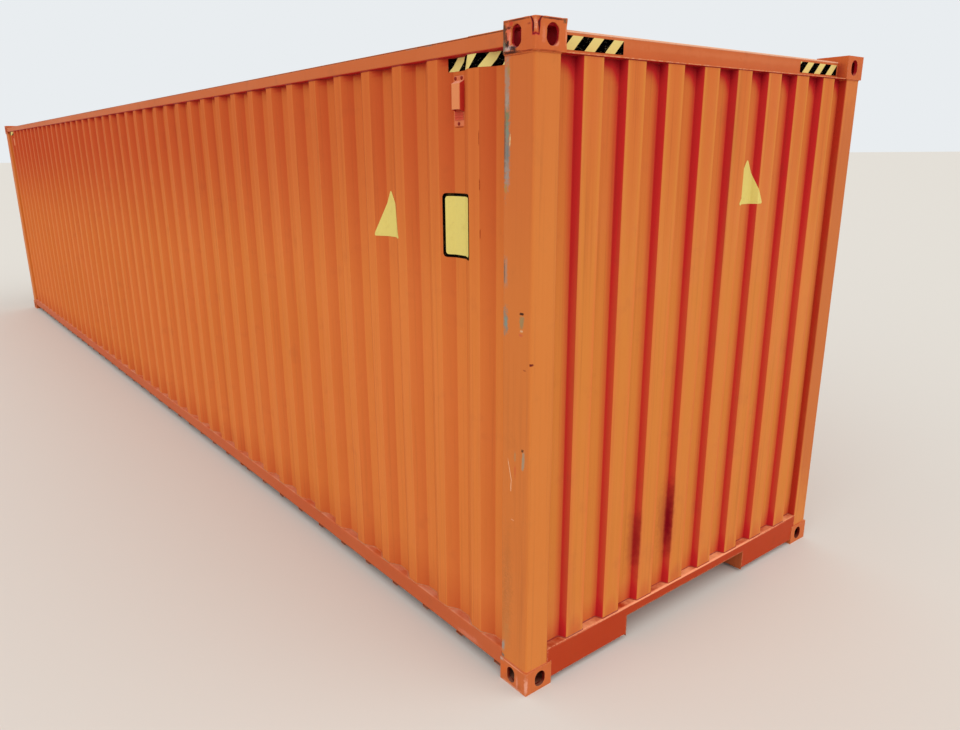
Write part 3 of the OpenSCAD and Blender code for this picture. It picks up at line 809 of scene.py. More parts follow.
@dataclass(frozen=True)
class Foil(Finish):
    """A stuck-on foil of one colour, or striped along the piece's own UV map."""

    ground: str = "#E6CE63"
    stripe: str | None = None
    pitch: float = 0.117
    lean: float = 1.0
    dirt: str = "#A8843C"
    grime: str = "#241E1A"
    scratched: str = "#B9A98A"

    def dress(self, coat: Coat) -> None:
        """Feed the ground and stripe colours with a little dirt and fine scratches."""
        dirt = coat.noise(coat.where, 22.0, 5, 0.65)
        scratch = coat.noise(coat.vector("MULTIPLY", coat.where, (60.0, 60.0, 500.0)), 1.0, 3)
        shade = coat.mix(coat.step(dirt, 0.52, 0.85, 0.25), colour(self.ground), colour(self.dirt))
        if self.stripe:
            across = coat.node("ShaderNodeUVMap", uv_map="across").outputs[0]
            stripes = coat.place(coat.effects.stripes, Across=across, Pitch=self.pitch, Lean=self.lean)[0]
            black = coat.mix(coat.step(dirt, 0.55, 0.9, 0.3), colour(self.stripe), colour(self.grime))
            shade = coat.mix(stripes, shade, black)
        shade = coat.mix(coat.step(scratch, 0.64, 0.72, 0.35), shade, colour(self.scratched))
        coat.surface(shade, coat.plus(0.4, coat.times(dirt, 0.3), True), dirt, 0.0003, 0.3)
        coat.set(Specular_IOR_Level=0.0)


# Putting pieces into the scene


def added(name: str, data: bpy.types.ID) -> bpy.types.Object:
    """Add an object to the scene."""
    thing = bpy.data.objects.new(name, data)
    bpy.context.scene.collection.objects.link(thing)
    return thing


class Shop:
    """Turns shells and copies of the frame's nodes into finished objects."""

    crease: float = 40.0
    doubles: float = 2e-5
    flat_turn: float = 0.5

    def __init__(self, nodes: dict[str, bpy.types.Object]) -> None:
        """Keep the frame's nodes and build the shared effects."""
        self.nodes = nodes
        self.effects = Effects()
        self.materials: dict[str, bpy.types.Material] = {}
        self.faces = 0

    def material(self, finish: Finish) -> bpy.types.Material:
        """Return the finish's material, built the first time."""
        if finish.name not in self.materials:
            self.materials[finish.name] = finish.material(self.effects)
        return self.materials[finish.name]

    def settle(
        self, name: str, mesh: bpy.types.Mesh, finish: Finish, stands_for: Sequence[str], crease: float
    ) -> bpy.types.Object:
        """Shade, dress and tie down a finished mesh.

        Args:
            name: The piece's name.
            mesh: Its mesh, in place.
            finish: Its finish.
            stands_for: The frame's nodes that it stands for.
            crease: The angle in degrees above which an edge is sharp.

        Returns:
            The new object.
        """
        mesh.shade_smooth()
        mesh.set_sharp_from_angle(angle=math.radians(crease))
        mesh.materials.clear()
        mesh.materials.append(self.material(finish))
        piece = added(name, mesh)
        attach(piece, "root")
        if stands_for:
            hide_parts(*stands_for)
        self.faces += len(mesh.polygons)
        log.info("%s: %d faces", name, len(mesh.polygons))
        return piece

    def show(
        self, name: str, shell: Shell, finish: Finish, stands_for: Sequence[str] = (), crease: float = 60.0,
        across: Array | None = None,
    ) -> None:
        """Make a piece of a shell.

        Args:
            name: The piece's name.
            shell: Its surface, in place.
            finish: Its finish.
            stands_for: The frame's nodes that it stands for.
            crease: The angle in degrees above which an edge is sharp.
            across: UV values for each point, two columns.
        """
        shell = shell.outward()
        mesh = bpy.data.meshes.new(name)
        faces = shell.quads.tolist() + [cap.tolist() for cap in shell.caps]
        mesh.from_pydata(shell.points, [], faces)
        if shell.painted_shade is not None:
            attribute = mesh.attributes.new("painted_shade", "FLOAT", "POINT")
            attribute.data.foreach_set("value", shell.painted_shade.astype(np.float32))
        if across is not None:
            corner = np.empty(len(mesh.loops), np.int32)
            mesh.loops.foreach_get("vertex_index", corner)
            layer = mesh.uv_layers.new(name="across")
            layer.data.foreach_set("uv", across[corner].astype(np.float32).ravel())
        mesh.validate()
        piece = self.settle(name, mesh, finish, stands_for, crease)
        piece.modifiers.new("flat faces stay flat", "WEIGHTED_NORMAL").keep_sharp = True

    def merged(self, node: str) -> bpy.types.Mesh:
        """Return a copy of a node's mesh with its doubles merged and its flat faces made whole."""
        mesh = self.nodes[node].data.copy()
        for stale in ("custom_normal", "sharp_edge", "sharp_face"):
            if stale in mesh.attributes:
                mesh.attributes.remove(mesh.attributes[stale])
        work = bmesh.new()
        work.from_mesh(mesh)
        bmesh.ops.remove_doubles(work, verts=work.verts, dist=self.doubles)
        flat_turn = math.radians(self.flat_turn)
        bmesh.ops.dissolve_limit(work, angle_limit=flat_turn, verts=work.verts, edges=work.edges)
        work.to_mesh(mesh)
        work.free()
        return mesh

    @staticmethod
    def cover(mesh: bpy.types.Mesh, painted_shade: Shift) -> None:
        """Give every face the painted shade value of its centre."""
        centres = np.empty(len(mesh.polygons) * 3)
        mesh.polygons.foreach_get("center", centres)
        attribute = mesh.attributes.new("painted_shade", "FLOAT", "FACE")
        attribute.data.foreach_set("value", painted_shade(centres.reshape(-1, 3)).astype(np.float32))

    def soften(
        self, name: str, node: str, finish: Finish, width: float, segments: int = 2,
        painted_shade: Shift | None = None,
    ) -> None:
        """Stand a copy of a node in its place, with every sharp edge rounded by a bevel.

        Args:
            name: The piece's name.
            node: The frame's node.
            finish: Its finish.
            width: The bevel's width.
            segments: The bevel's steps.
            painted_shade: Function from the faces' centres to their painted shade values.
        """
        mesh = self.merged(node)
        if painted_shade is not None:
            self.cover(mesh, painted_shade)
        piece = self.settle(name, mesh, finish, (node,), self.crease)
        bevel = piece.modifiers.new("rounded edges", "BEVEL")
        bevel.width, bevel.segments, bevel.harden_normals = width, segments, True
        bevel.limit_method, bevel.angle_limit = "ANGLE", math.radians(self.crease)


@dataclass(frozen=True)
class Box:
    """A node's lowest and highest corners."""

    low: Array
    high: Array

    @staticmethod
    def of(node: str) -> Box:
        """Read the box from the frame."""
        low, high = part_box(node)
        return Box(np.array(low), np.array(high))


# Finishes of this container

# The light colour is a painted highlight, and the sheltered and deep colours are painted shade.
FRONT_ORANGE = dict(
    paint="#D3803A", faded="#DB8148", light="#E2683F", bare="#E7A066", sheltered="#C42A29", deep="#8A0618"
)
# Crimson painted shade on undersides, by the under value.
RAIL_RED = dict(
    sheltered="#B81018", deep="#8E0A14", bare="#EBAE86", wear=0.9, reach=0.006, dirt=0.16, under=1.0,
    streaks=0.05,
)
CASTING_RED = dict(grime="#5A2616", grain=60, relief=0.0012, streaks=0.1)
PALE = "#E9BC98"

NEAR_CORNER_MARKS = Face(1, -1.213, 0.02).marks(
    (5.937, 2.66, 0.02, 0.15, "#9A8878", 60, 0.7, 0.7, 0.3, 0.8),
    (5.936, 2.43, 0.024, 0.18, "#8A7C70", 60, 0.7, 0.6, 0.22, 0.95),
    (5.925, 2.48, 0.006, 0.19, "#4E3E34", 80, 0.8, 0.7, 0.35, 0.7),
    (5.944, 2.722, 0.012, 0.03, "#A8803E", 70, 0.8, 0.8, 0.3, 0.75),
    (5.936, 2.61, 0.014, 0.05, "#A49488", 70, 0.8, 0.8, 0.3, 0.8, 0.05),
    (5.938, 2.545, 0.015, 0.065, "#7C7A50", 60, 0.8, 0.8, 0.25, 0.85),
    (5.941, 2.5, 0.01, 0.06, "#7C8A7A", 60, 0.8, 0.7, 0.3, 0.85),
    (5.956, 2.468, 0.003, 0.026, "#E0CC98", 90, 0.5, 0.5, 0.2, 1.0, 0.05),
    (5.94, 2.42, 0.013, 0.04, "#747A78", 60, 0.8, 0.7, 0.25, 0.8),
    (5.939, 2.335, 0.019, 0.07, "#A08E84", 60, 0.9, 0.8, 0.3, 0.8),
    (5.932, 2.285, 0.012, 0.022, "#A98446", 70, 0.7, 0.7, 0.3, 0.75),
    (5.934, 1.955, 0.016, 0.075, "#A88672", 60, 0.8, 0.7, 0.3, 0.85),
    (5.928, 1.955, 0.005, 0.06, "#6A584A", 80, 0.7, 0.6, 0.35, 0.8),
    (5.935, 1.752, 0.018, 0.068, "#8B8070", 60, 0.8, 0.6, 0.25, 0.9),
    (5.938, 1.745, 0.012, 0.03, "#7F9084", 70, 0.8, 0.7, 0.25, 0.85),
    (6.034, 1.76, 0.015, 0.03, "#9A8258", 40, 0.6, 0.5, 0.3, 0.9, 0.1),
    (6.034, 1.794, 0.016, 0.0065, "#4A2410", 60, 0.4, 0.4, 0.1, 1.0, 0.3),
    (6.033, 1.722, 0.011, 0.006, "#D8AC84", 60, 0.5, 0.5, 0.2, 0.9, 0.5),
    (6.03, 1.705, 0.014, 0.008, "#C9603C", 50, 0.5, 0.6, 0.2, 0.8),
    (6.087, 1.589, 0.0065, 0.0065, "#6E1A12", 90, 0.4, 0.4, 0.0),
    (6.053, 1.56, 0.011, 0.004, "#A04A24", 70, 0.5, 0.5, 0.1, 0.8),
    (6.052, 1.155, 0.01, 0.052, "#A38E74", 34, 0.6, 0.4, 0.3, 0.9, 0.05),
    (6.047, 1.203, 0.009, 0.008, "#5C3418", 60, 0.5, 0.4, 0.15, 0.9, 0.3),
    (6.0, 1.165, 0.009, 0.03, "#AE8458", 40, 0.5, 0.6, 0.3, 0.6),
    (6.002, 1.09, 0.007, 0.04, "#CC5A32", 40, 0.5, 0.6, 0.3, 0.6),
    (5.968, 1.085, 0.0026, 0.06, PALE, 50, 0.5, 0.5, 0.25, 0.85, -0.26),
    (5.976, 1.02, 0.003, 0.03, PALE, 50, 0.5, 0.5, 0.25, 0.85, 0.02),
    (5.99, 0.86, 0.012, 0.0022, PALE, 60, 0.4, 0.5, 0.25, 0.6),
    (5.955, 0.64, 0.045, 0.29, "#B66A30", 40, 1.0, 0.95, 0.3, 0.28),
    (5.955, 0.4, 0.048, 0.25, "#B0682E", 40, 1.0, 0.95, 0.28, 0.32),
    (5.945, 0.5, 0.034, 0.34, "#8A5424", 110, 0.9, 0.9, 0.52, 0.45),
    (5.955, 0.48, 0.04, 0.33, "#E8A070", 130, 0.9, 0.9, 0.56, 0.5),
    (5.95, 0.26, 0.034, 0.11, "#BE8048", 60, 0.9, 0.95, 0.36, 0.5),
    (5.93, 0.185, 0.016, 0.034, "#98948A", 80, 0.9, 0.7, 0.3, 0.9, 0.1),
    (5.93, 0.128, 0.014, 0.014, "#6E6A60", 90, 0.9, 0.7, 0.3, 0.9),
)
NEAR_CASTING_MARKS = (
    Mark((6.094, -1.216, 2.866), (0.012, 0.014, 0.026), "#EBA486", 120, 0.5, 0.6, 0.42, 0.7),
    *Face(1, -1.219, 0.008).marks(
        (5.949, 2.846, 0.017, 0.046, "#DC6A4C", 110, 0.8, 0.6, 0.25, 0.85),
        (5.957, 2.828, 0.009, 0.028, "#E88A6E", 130, 0.8, 0.6, 0.2, 0.85),
        (5.966, 2.88, 0.015, 0.012, "#C43A20", 130, 0.8, 0.6, 0.25, 0.85),
        (5.95, 2.868, 0.02, 0.008, "#5E1C10", 130, 0.9, 0.6, 0.2, 0.9),
        (5.924, 2.85, 0.014, 0.046, "#4A3222", 110, 0.8, 0.5, 0.2, 0.9),
        (5.938, 2.836, 0.006, 0.018, "#3A1410", 150, 0.9, 0.6, 0.3, 0.85),
        (5.924, 2.806, 0.014, 0.024, "#5C6250", 120, 0.8, 0.5, 0.25, 0.9),
        (5.952, 2.797, 0.03, 0.012, "#B8AAA4", 120, 0.9, 0.6, 0.3, 0.85),
        (5.943, 2.812, 0.012, 0.015, "#1A1212", 120, 0.9, 0.5, 0.25, 0.95),
        (5.977, 2.795, 0.024, 0.01, "#2C181C", 120, 0.9, 0.5, 0.3, 0.95),
        (5.992, 2.801, 0.014, 0.006, "#70687A", 150, 0.8, 0.6, 0.3, 0.8),
        (5.962, 2.782, 0.058, 0.006, "#36100C", 110, 0.9, 0.5, 0.3, 0.95),
        (6.05, 2.781, 0.052, 0.0026, "#9A3216", 100, 0.5, 0.6, 0.1, 0.9),
        (6.0, 2.89, 0.09, 0.0045, "#5A2414", 60, 0.5, 0.7, 0.1, 0.85),
        (6.062, 2.87, 0.012, 0.0045, "#9A3A20", 130, 0.8, 0.6, 0.3, 0.85),
    ),
    *Face(0, 6.096, 0.008).marks(
        (-1.126, 2.8895, 0.09, 0.0045, "#5A1C10", 60, 0.5, 0.7, 0.1, 0.9),
        (-1.07, 2.886, 0.012, 0.012, "#6E4A30", 130, 0.9, 0.6, 0.3, 0.85),
        (-1.15, 2.781, 0.074, 0.0026, "#A84018", 100, 0.4, 0.6, 0.1, 0.9),
        (-1.176, 2.835, 0.012, 0.038, "#DE8464", 90, 0.8, 0.9, 0.3, 0.5),
        (-1.108, 2.808, 0.012, 0.014, "#E48C6C", 90, 0.7, 0.7, 0.25, 0.7),
        (-1.063, 2.84, 0.004, 0.05, "#E8946C", 90, 0.6, 0.7, 0.3, 0.7),
    ),
    # Painted shade on the far upper casting's inner face.
    Mark((6.02, 1.057, 2.81), (0.1, 0.008, 0.08), "#A03420", 20, 0.3, 0.8, 0.0, 0.8),
)
FAR_POST_MARK = Mark((6.09, 1.15, 1.5), (0.03, 0.09, 1.35), "#B8582A", 3, 0.2, 0.3, 0.0, 0.5)
POST_HEAD_LINE = Mark((6.0, -1.15, 2.7715), (0.1, 0.1, 0.0018), "#9A2A10", 40, 0.3, 0.5, 0.1, 0.8)

FRAME_PAINT = Paint(
    "frame paint", Slot.FRAME, paint="#D47B35", faded="#D98540", sheltered="#B8341F", deep="#8E0A14",
    bare="#E39A6A", marks=(*NEAR_CORNER_MARKS, FAR_POST_MARK, POST_HEAD_LINE),
)
RAIL_PAINT = Paint(
    "rail paint", Slot.FRAME, **RAIL_RED, paint="#C86530", faded="#CE7244", dust="#A8866E", dusty=0.8,
    marks=Face(1, -1.211, 0.008).marks(
        (5.42, 2.864, 0.034, 0.005, "#8A7E7A", 50, 0.6, 0.4, 0.2, 0.9),
        (5.3, 2.862, 0.05, 0.003, "#A08A7C", 50, 0.6, 0.4, 0.3, 0.7),
    ),
)
# Its pale dust stands for dust and for painted light on the top faces.
HEADER_PAINT = Paint(
    "header paint", Slot.FRAME, **RAIL_RED, paint="#C66430", faded="#CC7040", dust="#EBB391", dusty=0.85,
    marks=Face(0, 6.041, 0.02).marks(
        # A painted highlight along the header's top edge.
        (0.0, 2.863, 1.2, 0.0045, "#E8B08C", 40, 0.4, 0.9, 0.2, 0.8),
        (0.0, 2.835, 1.2, 0.02, "#D27848", 6, 0.6, 0.9, 0.3, 0.4),
    ),
)
# The seam bead's pale paint is a painted highlight along the header's top edge.
SEAM_HIGHLIGHT_PAINT = Paint(
    "painted seam highlight", Slot.FRAME, paint="#E9AC8A", faded="#EDB89C", sheltered="#C8643C", bare="#EDB89C",
    wear=0.3,
)
SHADE_PAINT = Paint(
    "shaded bead paint", Slot.FRAME, paint="#9A2418", faded="#A42C1C", sheltered="#8E0A14", bare="#B03A22",
    wear=0.2, dirt=0.2, under=1.0,
)
BOTTOM_PAINT = Paint(
    "bottom rail paint", Slot.FRAME, **RAIL_RED, paint="#C25A2E", faded="#C8683C", dust="#D89A7C", dusty=0.6,
    marks=Face(1, -1.213, 0.02).marks(
        (5.74, 0.042, 0.22, 0.016, "#E6A68E", 24, 0.9, 0.9, 0.25, 0.7),
        (5.66, 0.085, 0.12, 0.02, "#D9876C", 18, 0.9, 0.9, 0.3, 0.5),
        (5.2, 0.04, 0.35, 0.01, "#DE9A80", 24, 0.9, 0.9, 0.35, 0.5),
    ),
)
# Its pale dust stands for dust and for painted light on the top faces.
SILL_PAINT = Paint(
    "sill paint", Slot.FRAME, paint="#B0360E", faded="#BA4218", sheltered="#861A10", dust="#F2AA78",
    bare="#F2AE84", wear=1.0, reach=0.007, dirt=0.2, dusty=0.95, streaks=0.04,
    # A painted highlight along the sill's top edge.
    marks=Face(0, 6.092, 0.012).marks((0.0, 0.189, 1.2, 0.01, "#FFA87C", 30, 0.2, 0.7, 0.0, 0.95)),
)
# The castings' sheltered and deep colours are painted shade in their hidden faces and painted shadow in the
# gouge's groove.
CASTING_PAINT = Paint(
    "casting paint", Slot.CASTING, **CASTING_RED, paint="#C8612C", faded="#D26F38", sheltered="#B0141E",
    deep="#560C06", bare="#E2906A", dust="#E0A080", dirt=0.3, wear=0.7, reach=0.005, marks=NEAR_CASTING_MARKS,
)
CASTING_FOOT_PAINT = Paint(
    "lower casting paint", Slot.CASTING, **CASTING_RED, paint="#C86430", faded="#D2723C", sheltered="#6E1608",
    deep="#2A0C06", bare="#DE8A60", dust="#C89878", dirt=0.35, wear=0.8, reach=0.006,
    marks=Face(1, -1.219, 0.01).marks(
        (5.925, 0.112, 0.02, 0.01, "#B8AC9E", 120, 0.9, 0.5, 0.35, 0.8),
        Mark((6.0, -1.219, 0.004), (0.09, 0.02, 0.007), "#DC9A80", 90, 0.8, 0.6, 0.35, 0.8),
        (5.96, 0.035, 0.035, 0.03, "#B05A34", 70, 0.9, 0.7, 0.35, 0.5),
        (5.945, 0.06, 0.03, 0.055, "#DE6420", 30, 0.4, 0.9, 0.1, 0.6),
        Mark((6.093, -1.216, 0.055), (0.012, 0.012, 0.06), "#EBA78C", 60, 0.6, 0.8, 0.15, 0.8),
        (6.0, 0.1145, 0.1, 0.0045, "#EE9C78", 60, 0.4, 0.7, 0.15, 0.8),
        (6.035, 0.04, 0.01, 0.045, "#E49A80", 60, 0.5, 0.9, 0.2, 0.6),
    ),
)
SIDE_PAINT = Paint(
    "side wall paint", Slot.WALL, paint="#D97D3B", faded="#E08043", sheltered="#B84024", deep="#9A1C16",
    bare="#E7A066", wear=0.0, streaks=0.16, sheen=0.02,
    marks=(
        # Painted shade beside the ventilator's hood, and painted shadow lines along its plate's foot and
        # head.
        *Face(1, -1.185, 0.03).marks((5.629, 2.63, 0.013, 0.105, "#A83420", 30, 0.15, 0.9, 0.0, 0.75)),
        *Face(1, -1.18, 0.03).marks(
            (5.586, 2.5275, 0.037, 0.003, "#942C18", 60, 0.2, 0.5, 0.0, 0.85),
            (5.586, 2.732, 0.037, 0.0024, "#A43A20", 60, 0.2, 0.5, 0.0, 0.7),
        ),
        *Face(1, -1.209, 0.01).marks(
            (5.758, 2.478, 0.003, 0.042, "#8E2A14", 40, 0.5, 0.5, 0.35, 0.7),
            (5.761, 2.296, 0.003, 0.026, "#8E2A14", 40, 0.5, 0.5, 0.35, 0.7),
            (5.763, 2.094, 0.003, 0.025, "#8E2A14", 40, 0.5, 0.5, 0.35, 0.7),
        ),
    ),
)
FRONT_PAINT = Paint(
    "front wall paint", Slot.WALL, **FRONT_ORANGE, wear=0.0, streaks=0.16, sheen=0.03,
    marks=Face(0, 6.06, 0.06).marks(
        (-0.47, 0.54, 0.05, 0.22, "#9C4430", 14, 0.5, 0.95, 0.25, 0.32),
        (-0.215, 0.56, 0.07, 0.26, "#96402E", 14, 0.5, 0.95, 0.25, 0.36),
        (-0.448, 0.52, 0.02, 0.24, "#8C101A", 12, 0.3, 0.95, 0.05, 0.75),
        (-0.193, 0.57, 0.019, 0.29, "#7A0418", 12, 0.3, 0.95, 0.05, 0.95),
    ),
)
VENT_PAINT = Paint(
    "ventilator paint", Slot.WALL, paint="#DE8450", faded="#E49462", sheltered="#C8342A", bare="#E8AC84",
    dust="#F0A286", wear=0.4, reach=0.003, streaks=0.1, dirt=0.08, dusty=0.9,
)
VENT_BOLT_PAINT = Paint(
    "ventilator bolt paint", Slot.WALL, paint="#8A1E16", faded="#96281C", sheltered="#5E120E", bare="#B0603C",
    wear=0.4, reach=0.002,
)
ROOF_PAINT = Paint(
    "roof paint", Slot.ROOF, paint="#CC7038", faded="#D68A58", sheltered="#B4542F", grime="#7A4B34",
    fade=0.8, dusty=0.35, dirt=0.2, wear=0.0,
    # A painted highlight along the roof plate's front edge.
    marks=Face(0, 6.041, 0.014).marks((0.0, 2.868, 1.2, 0.012, "#F2C4A4", 20, 0.2, 0.4, 0.0, 0.9)),
)
UNDER_PAINT = Paint(
    "underframe paint", Slot.UNDERFRAME, paint="#B4552C", faded="#BE6538", sheltered="#8A3A22",
    grime="#4E2E20", dirt=0.45, dusty=0.5, wear=0.5, bare="#6B3A26",
)
DOOR_PAINT = Paint("door paint", Slot.DOOR, **FRONT_ORANGE, wear=0.5, streaks=0.2, dirt=0.14)
BAR_PAINT = Paint(
    "bar paint", Slot.BAR, paint="#CB6630", faded="#D5763C", sheltered="#A83626", bare="#8C8478",
    wear=0.6, dirt=0.25,
)
ZINC = Zinc("galvanised steel", Slot.ZINC)
RUBBER = Rubber("door rubber", Slot.SEAL)
PLYWOOD = Plywood("floor plywood", Slot.FLOOR)
HAZARD = Foil("hazard foil", Slot.WALL, "#E2CD80", "#020203")
YELLOW = Foil("yellow foil", Slot.WALL, "#E0CE76")
BLACK = Foil("black foil", Slot.WALL, "#030304")


# The container's sub-assemblies

WELD_INSET = 0.001
FOIL_LIFT = 0.0012


def smooth(value: Array, low: float, high: float) -> Array:
    """Return a smooth rise: with t the clipped way from low to high, t squared times (3 less 2 t)."""
    t = np.clip((value - low) / (high - low), 0, 1)
    return t * t * (3 - 2 * t)


def wall_rows(low: float, high: float) -> Array:
    """Return the heights of a wall's rows, closer together near its foot and under its rail."""
    foot, eave = low + 0.12, high - 0.16
    middle = np.linspace(foot, eave, 22)[1:-1]
    return np.concatenate([np.linspace(low, foot, 6), middle, np.linspace(eave, high, 10)])


@dataclass(frozen=True)
class PaintedShade:
    """How much painted shade a corrugated wall gets: redder paint where shade falls, and a painted highlight
    on its crest edges.
    """

    recess: float
    drift: float
    power: float
    rising: float
    falling: float
    edge: float
    edge_reach: float
    high: float
    foot: float
    foot_reach: float
    eave: float
    eave_reach: float
    rear: float = 0.0


@dataclass
class Corrugation:
    """A trapezoidal corrugation as a graph: the depth against the place along the wall."""

    first_edge: float
    pitch: float
    flat: float
    slope: float
    count: int
    start: float
    end: float
    outer: float
    inner: float
    crest_bend: float
    foot_bend: float

    def path(self, steps: int = 3, fill: int = 0) -> Array:
        """Work out the wall's line: ridge k has its crest from first_edge + k * pitch over one flat, and a
        slope to each side.

        Args:
            steps: Straight pieces in each bend.
            fill: Points spread over each recess and each crest.

        Returns:
            The rounded line (place, depth), from the start to the end.
        """
        edge = self.first_edge + self.pitch * np.arange(self.count)
        places = (edge[:, None] + [-self.slope, 0, self.flat, self.flat + self.slope]).ravel()
        depths = np.tile([self.inner, self.outer, self.outer, self.inner], self.count)
        ends = [[self.start, self.inner]], [[self.end, self.inner]]
        corners = np.concatenate([ends[0], np.stack([places, depths], 1), ends[1]])
        bends = np.tile([self.foot_bend, self.crest_bend, self.crest_bend, self.foot_bend], self.count)
        line = rounded(corners, np.concatenate([[0.01], bends, [0.01]]), steps)
        gap = self.pitch - self.flat - 2 * self.slope
        share = np.arange(1, fill + 1) / (fill + 1)
        foot = np.concatenate([edge[:1] - self.pitch, edge]) + self.flat + self.slope
        for first, width, depth in ((foot, gap, self.inner), (edge, self.flat, self.outer)):
            places = first[:, None] + width * share
            places = places[(places > self.start + 0.01) & (places < self.end - 0.01)]
            line = np.concatenate([line, np.stack([places, 0 * places + depth], 1)])
        return line[np.argsort(line[:, 0], kind="stable")]

    def painted_shade(self, line: Array, heights: Array, cover: PaintedShade) -> Array:
        """Return the painted shade of each point of the wall: above 0 redder paint where shade falls, below 0
        a painted highlight.

        Across the wall, a recess has the recess value and rises by the drift value towards its far side,
        and each kind of slope, rising or falling along the wall, has its own times the square of its
        normal's share along the wall, the greater of the two counting: painted shade in the hollows and
        on the slopes that face away from the light. A crest is lighter by the edge value at its sides, a
        painted highlight falling off over the edge reach. Up the wall, the paint is redder by the high
        value over the upper third and by the foot value over the lowest part, and by the rear value
        towards the rear's upper part. Right under the rail, the eave value adds painted shade, in full in
        a recess and hardly on a crest, and it reaches further down at the recess's far side.

        Args:
            line: The path, (place, depth).
            heights: The heights of the wall's rows, lowest first.
            cover: The values.

        Returns:
            An array (heights, line) between -1 and 2.
        """
        place, depth = line.T
        rise = self.outer - self.inner
        sunk = np.clip((self.outer - depth) / rise, 0, 1)
        phase = np.mod(place - self.first_edge - self.flat - self.slope, self.pitch)
        across = np.clip(phase / (self.pitch - self.flat - 2 * self.slope), 0, 1)
        lean = side_normals(line)[:, 0] / (abs(rise) / math.hypot(rise, self.slope))
        steep = np.clip(np.abs(lean), 0, 1) ** 2 * np.where(lean * rise < 0, cover.rising, cover.falling)
        recess = sunk * (cover.recess + cover.drift * across**cover.power)
        value = np.maximum(recess, steep * (0.88 + 0.12 * sunk))
        along = np.mod(place - self.first_edge + self.slope, self.pitch) - self.slope
        inward = np.clip(np.minimum(along, self.flat - along), 0, None)
        value = value - cover.edge * np.exp(-inward / cover.edge_reach) * (1 - sunk) ** 12
        low, high = heights[0], heights[-1]
        up = (heights - low) / (high - low)
        upper = cover.high * smooth(up, 0.52, 0.95)
        foot = cover.foot * smooth(low + cover.foot_reach - heights, 0, cover.foot_reach)
        rear = cover.rear * np.clip((4.0 - place) / 8.0, 0, 1) * smooth(up, 0.3, 0.9)[:, None]
        reach = cover.eave_reach * (0.4 + 0.6 * across)
        eave = np.clip(1 + (heights[:, None] - high) / reach, 0, 1) ** 1.6
        under = cover.eave * eave * (0.04 + 0.96 * sunk)
        return np.clip(value + (upper + foot)[:, None] + under + rear, -1, 2)


@dataclass(frozen=True)
class Triangle:
    """A triangle that stands on its base: its place along the wall, its sizes and its corners' radius."""

    start: float
    width: float
    low: float
    high: float
    radius: float = 0.010

    def on(self, foils: Foils) -> Shell:
        """Return it as a foil."""
        corners = [(0.0, self.low), (self.width, self.low), (self.width / 2, self.high)]
        return foils.cut(self.start, corners, self.radius)


@dataclass
class Foils:
    """Foils that lie on a bent sheet that looks along one axis, built as thin closed sheets."""

    line: Array
    axis: int
    sign: float
    shift: Shift | None = None
    thickness: float = 0.0008
    columns: int = 40
    rows: int = 3

    def lay(self, place: Array, depth: Array, z: Array) -> Array:
        """Put (place, depth, height) into the frame, with the depth counted outwards along the axis."""
        flat = (self.sign * depth, place) if self.axis == 0 else (place, self.sign * depth)
        return np.stack([*flat, z], -1)

    def sheet(
        self, start: float, width: float, low: Shift, high: Shift, lift: float = FOIL_LIFT, zero: float = 0.0
    ) -> tuple[Shell, Array]:
        """Cut one foil.

        The foil is flat before it is stuck on. Its column s, from 0 to the width, runs from low(s) to
        high(s), and lies at the length s along the bent line, counted from the start. Both skins are the
        sheet's own surface moved outwards.

        Args:
            start: First place along the wall.
            width: The flat foil's width.
            low: Lower edge's height in each column.
            high: Upper edge's height in each column.
            lift: How far it stands off.
            zero: The column where its UV map starts.

        Returns:
            The foil and its UV values: the flat width and the height.
        """
        length = np.concatenate([[0], np.cumsum(np.hypot(*np.diff(self.line, axis=0).T))])
        first = np.interp(start, self.line[:, 0], length)
        bends = length[(length > first) & (length < first + width)] - first
        s = np.unique(np.round(np.concatenate([np.linspace(0, width, self.columns), bends]), 6))
        place, depth = (np.interp(first + s, length, column) for column in self.line.T)
        t = np.linspace(0, 1, self.rows)[:, None]
        z = low(s) * (1 - t) + high(s) * t
        grid = self.lay(np.broadcast_to(place, z.shape), np.broadcast_to(depth, z.shape), z)
        if self.shift is not None:
            grid = grid + self.shift(grid)
        outward = self.lay(np.zeros(1), np.ones(1), np.zeros(1))[0]
        foil = closed_sheet(grid + outward * lift, grid + outward * (lift - self.thickness))
        uv = np.stack([np.broadcast_to(s - zero, z.shape), z - z.min()], -1).reshape(-1, 2)
        return foil, np.tile(uv, (2, 1))

    def tape(self, start: float, width: float, low: float, high: float, zero: float) -> tuple[Shell, Array]:
        """Cut a straight tape."""
        return self.sheet(start, width, lambda s: 0 * s + low, lambda s: 0 * s + high, zero=zero)

    def cut(self, start: float, corners: Outline, radius: float, lift: float = FOIL_LIFT) -> Shell:
        """Cut a foil whose outline is a convex polygon with rounded corners.

        The lower edge is the part of the outline that runs forwards along the wall, and the upper edge
        the part that runs back. The very tips are left off, so that no face shrinks to nothing.

        Args:
            start: First place along the wall.
            corners: The flat polygon (width, height), anticlockwise.
            radius: Radius of its corners.
            lift: How far it stands off.

        Returns:
            The foil.
        """
        outline = rounded(corners, radius, 6, ring=True)
        after = np.roll(outline, -1, 0)
        left = outline[:, 0].min() + 0.0006
        width = outline[:, 0].max() - left - 0.0006
        edges = []
        for way in (1, -1):
            chosen = (after[:, 0] - outline[:, 0]) * way > 1e-9
            points = np.concatenate([outline[chosen], after[chosen]])
            edges.append(points[np.argsort(points[:, 0], kind="stable")])
        low, high = (lambda s, edge=edge: np.interp(s + left, edge[:, 0], edge[:, 1]) for edge in edges)
        return self.sheet(start + left, width, low, high, lift)[0]


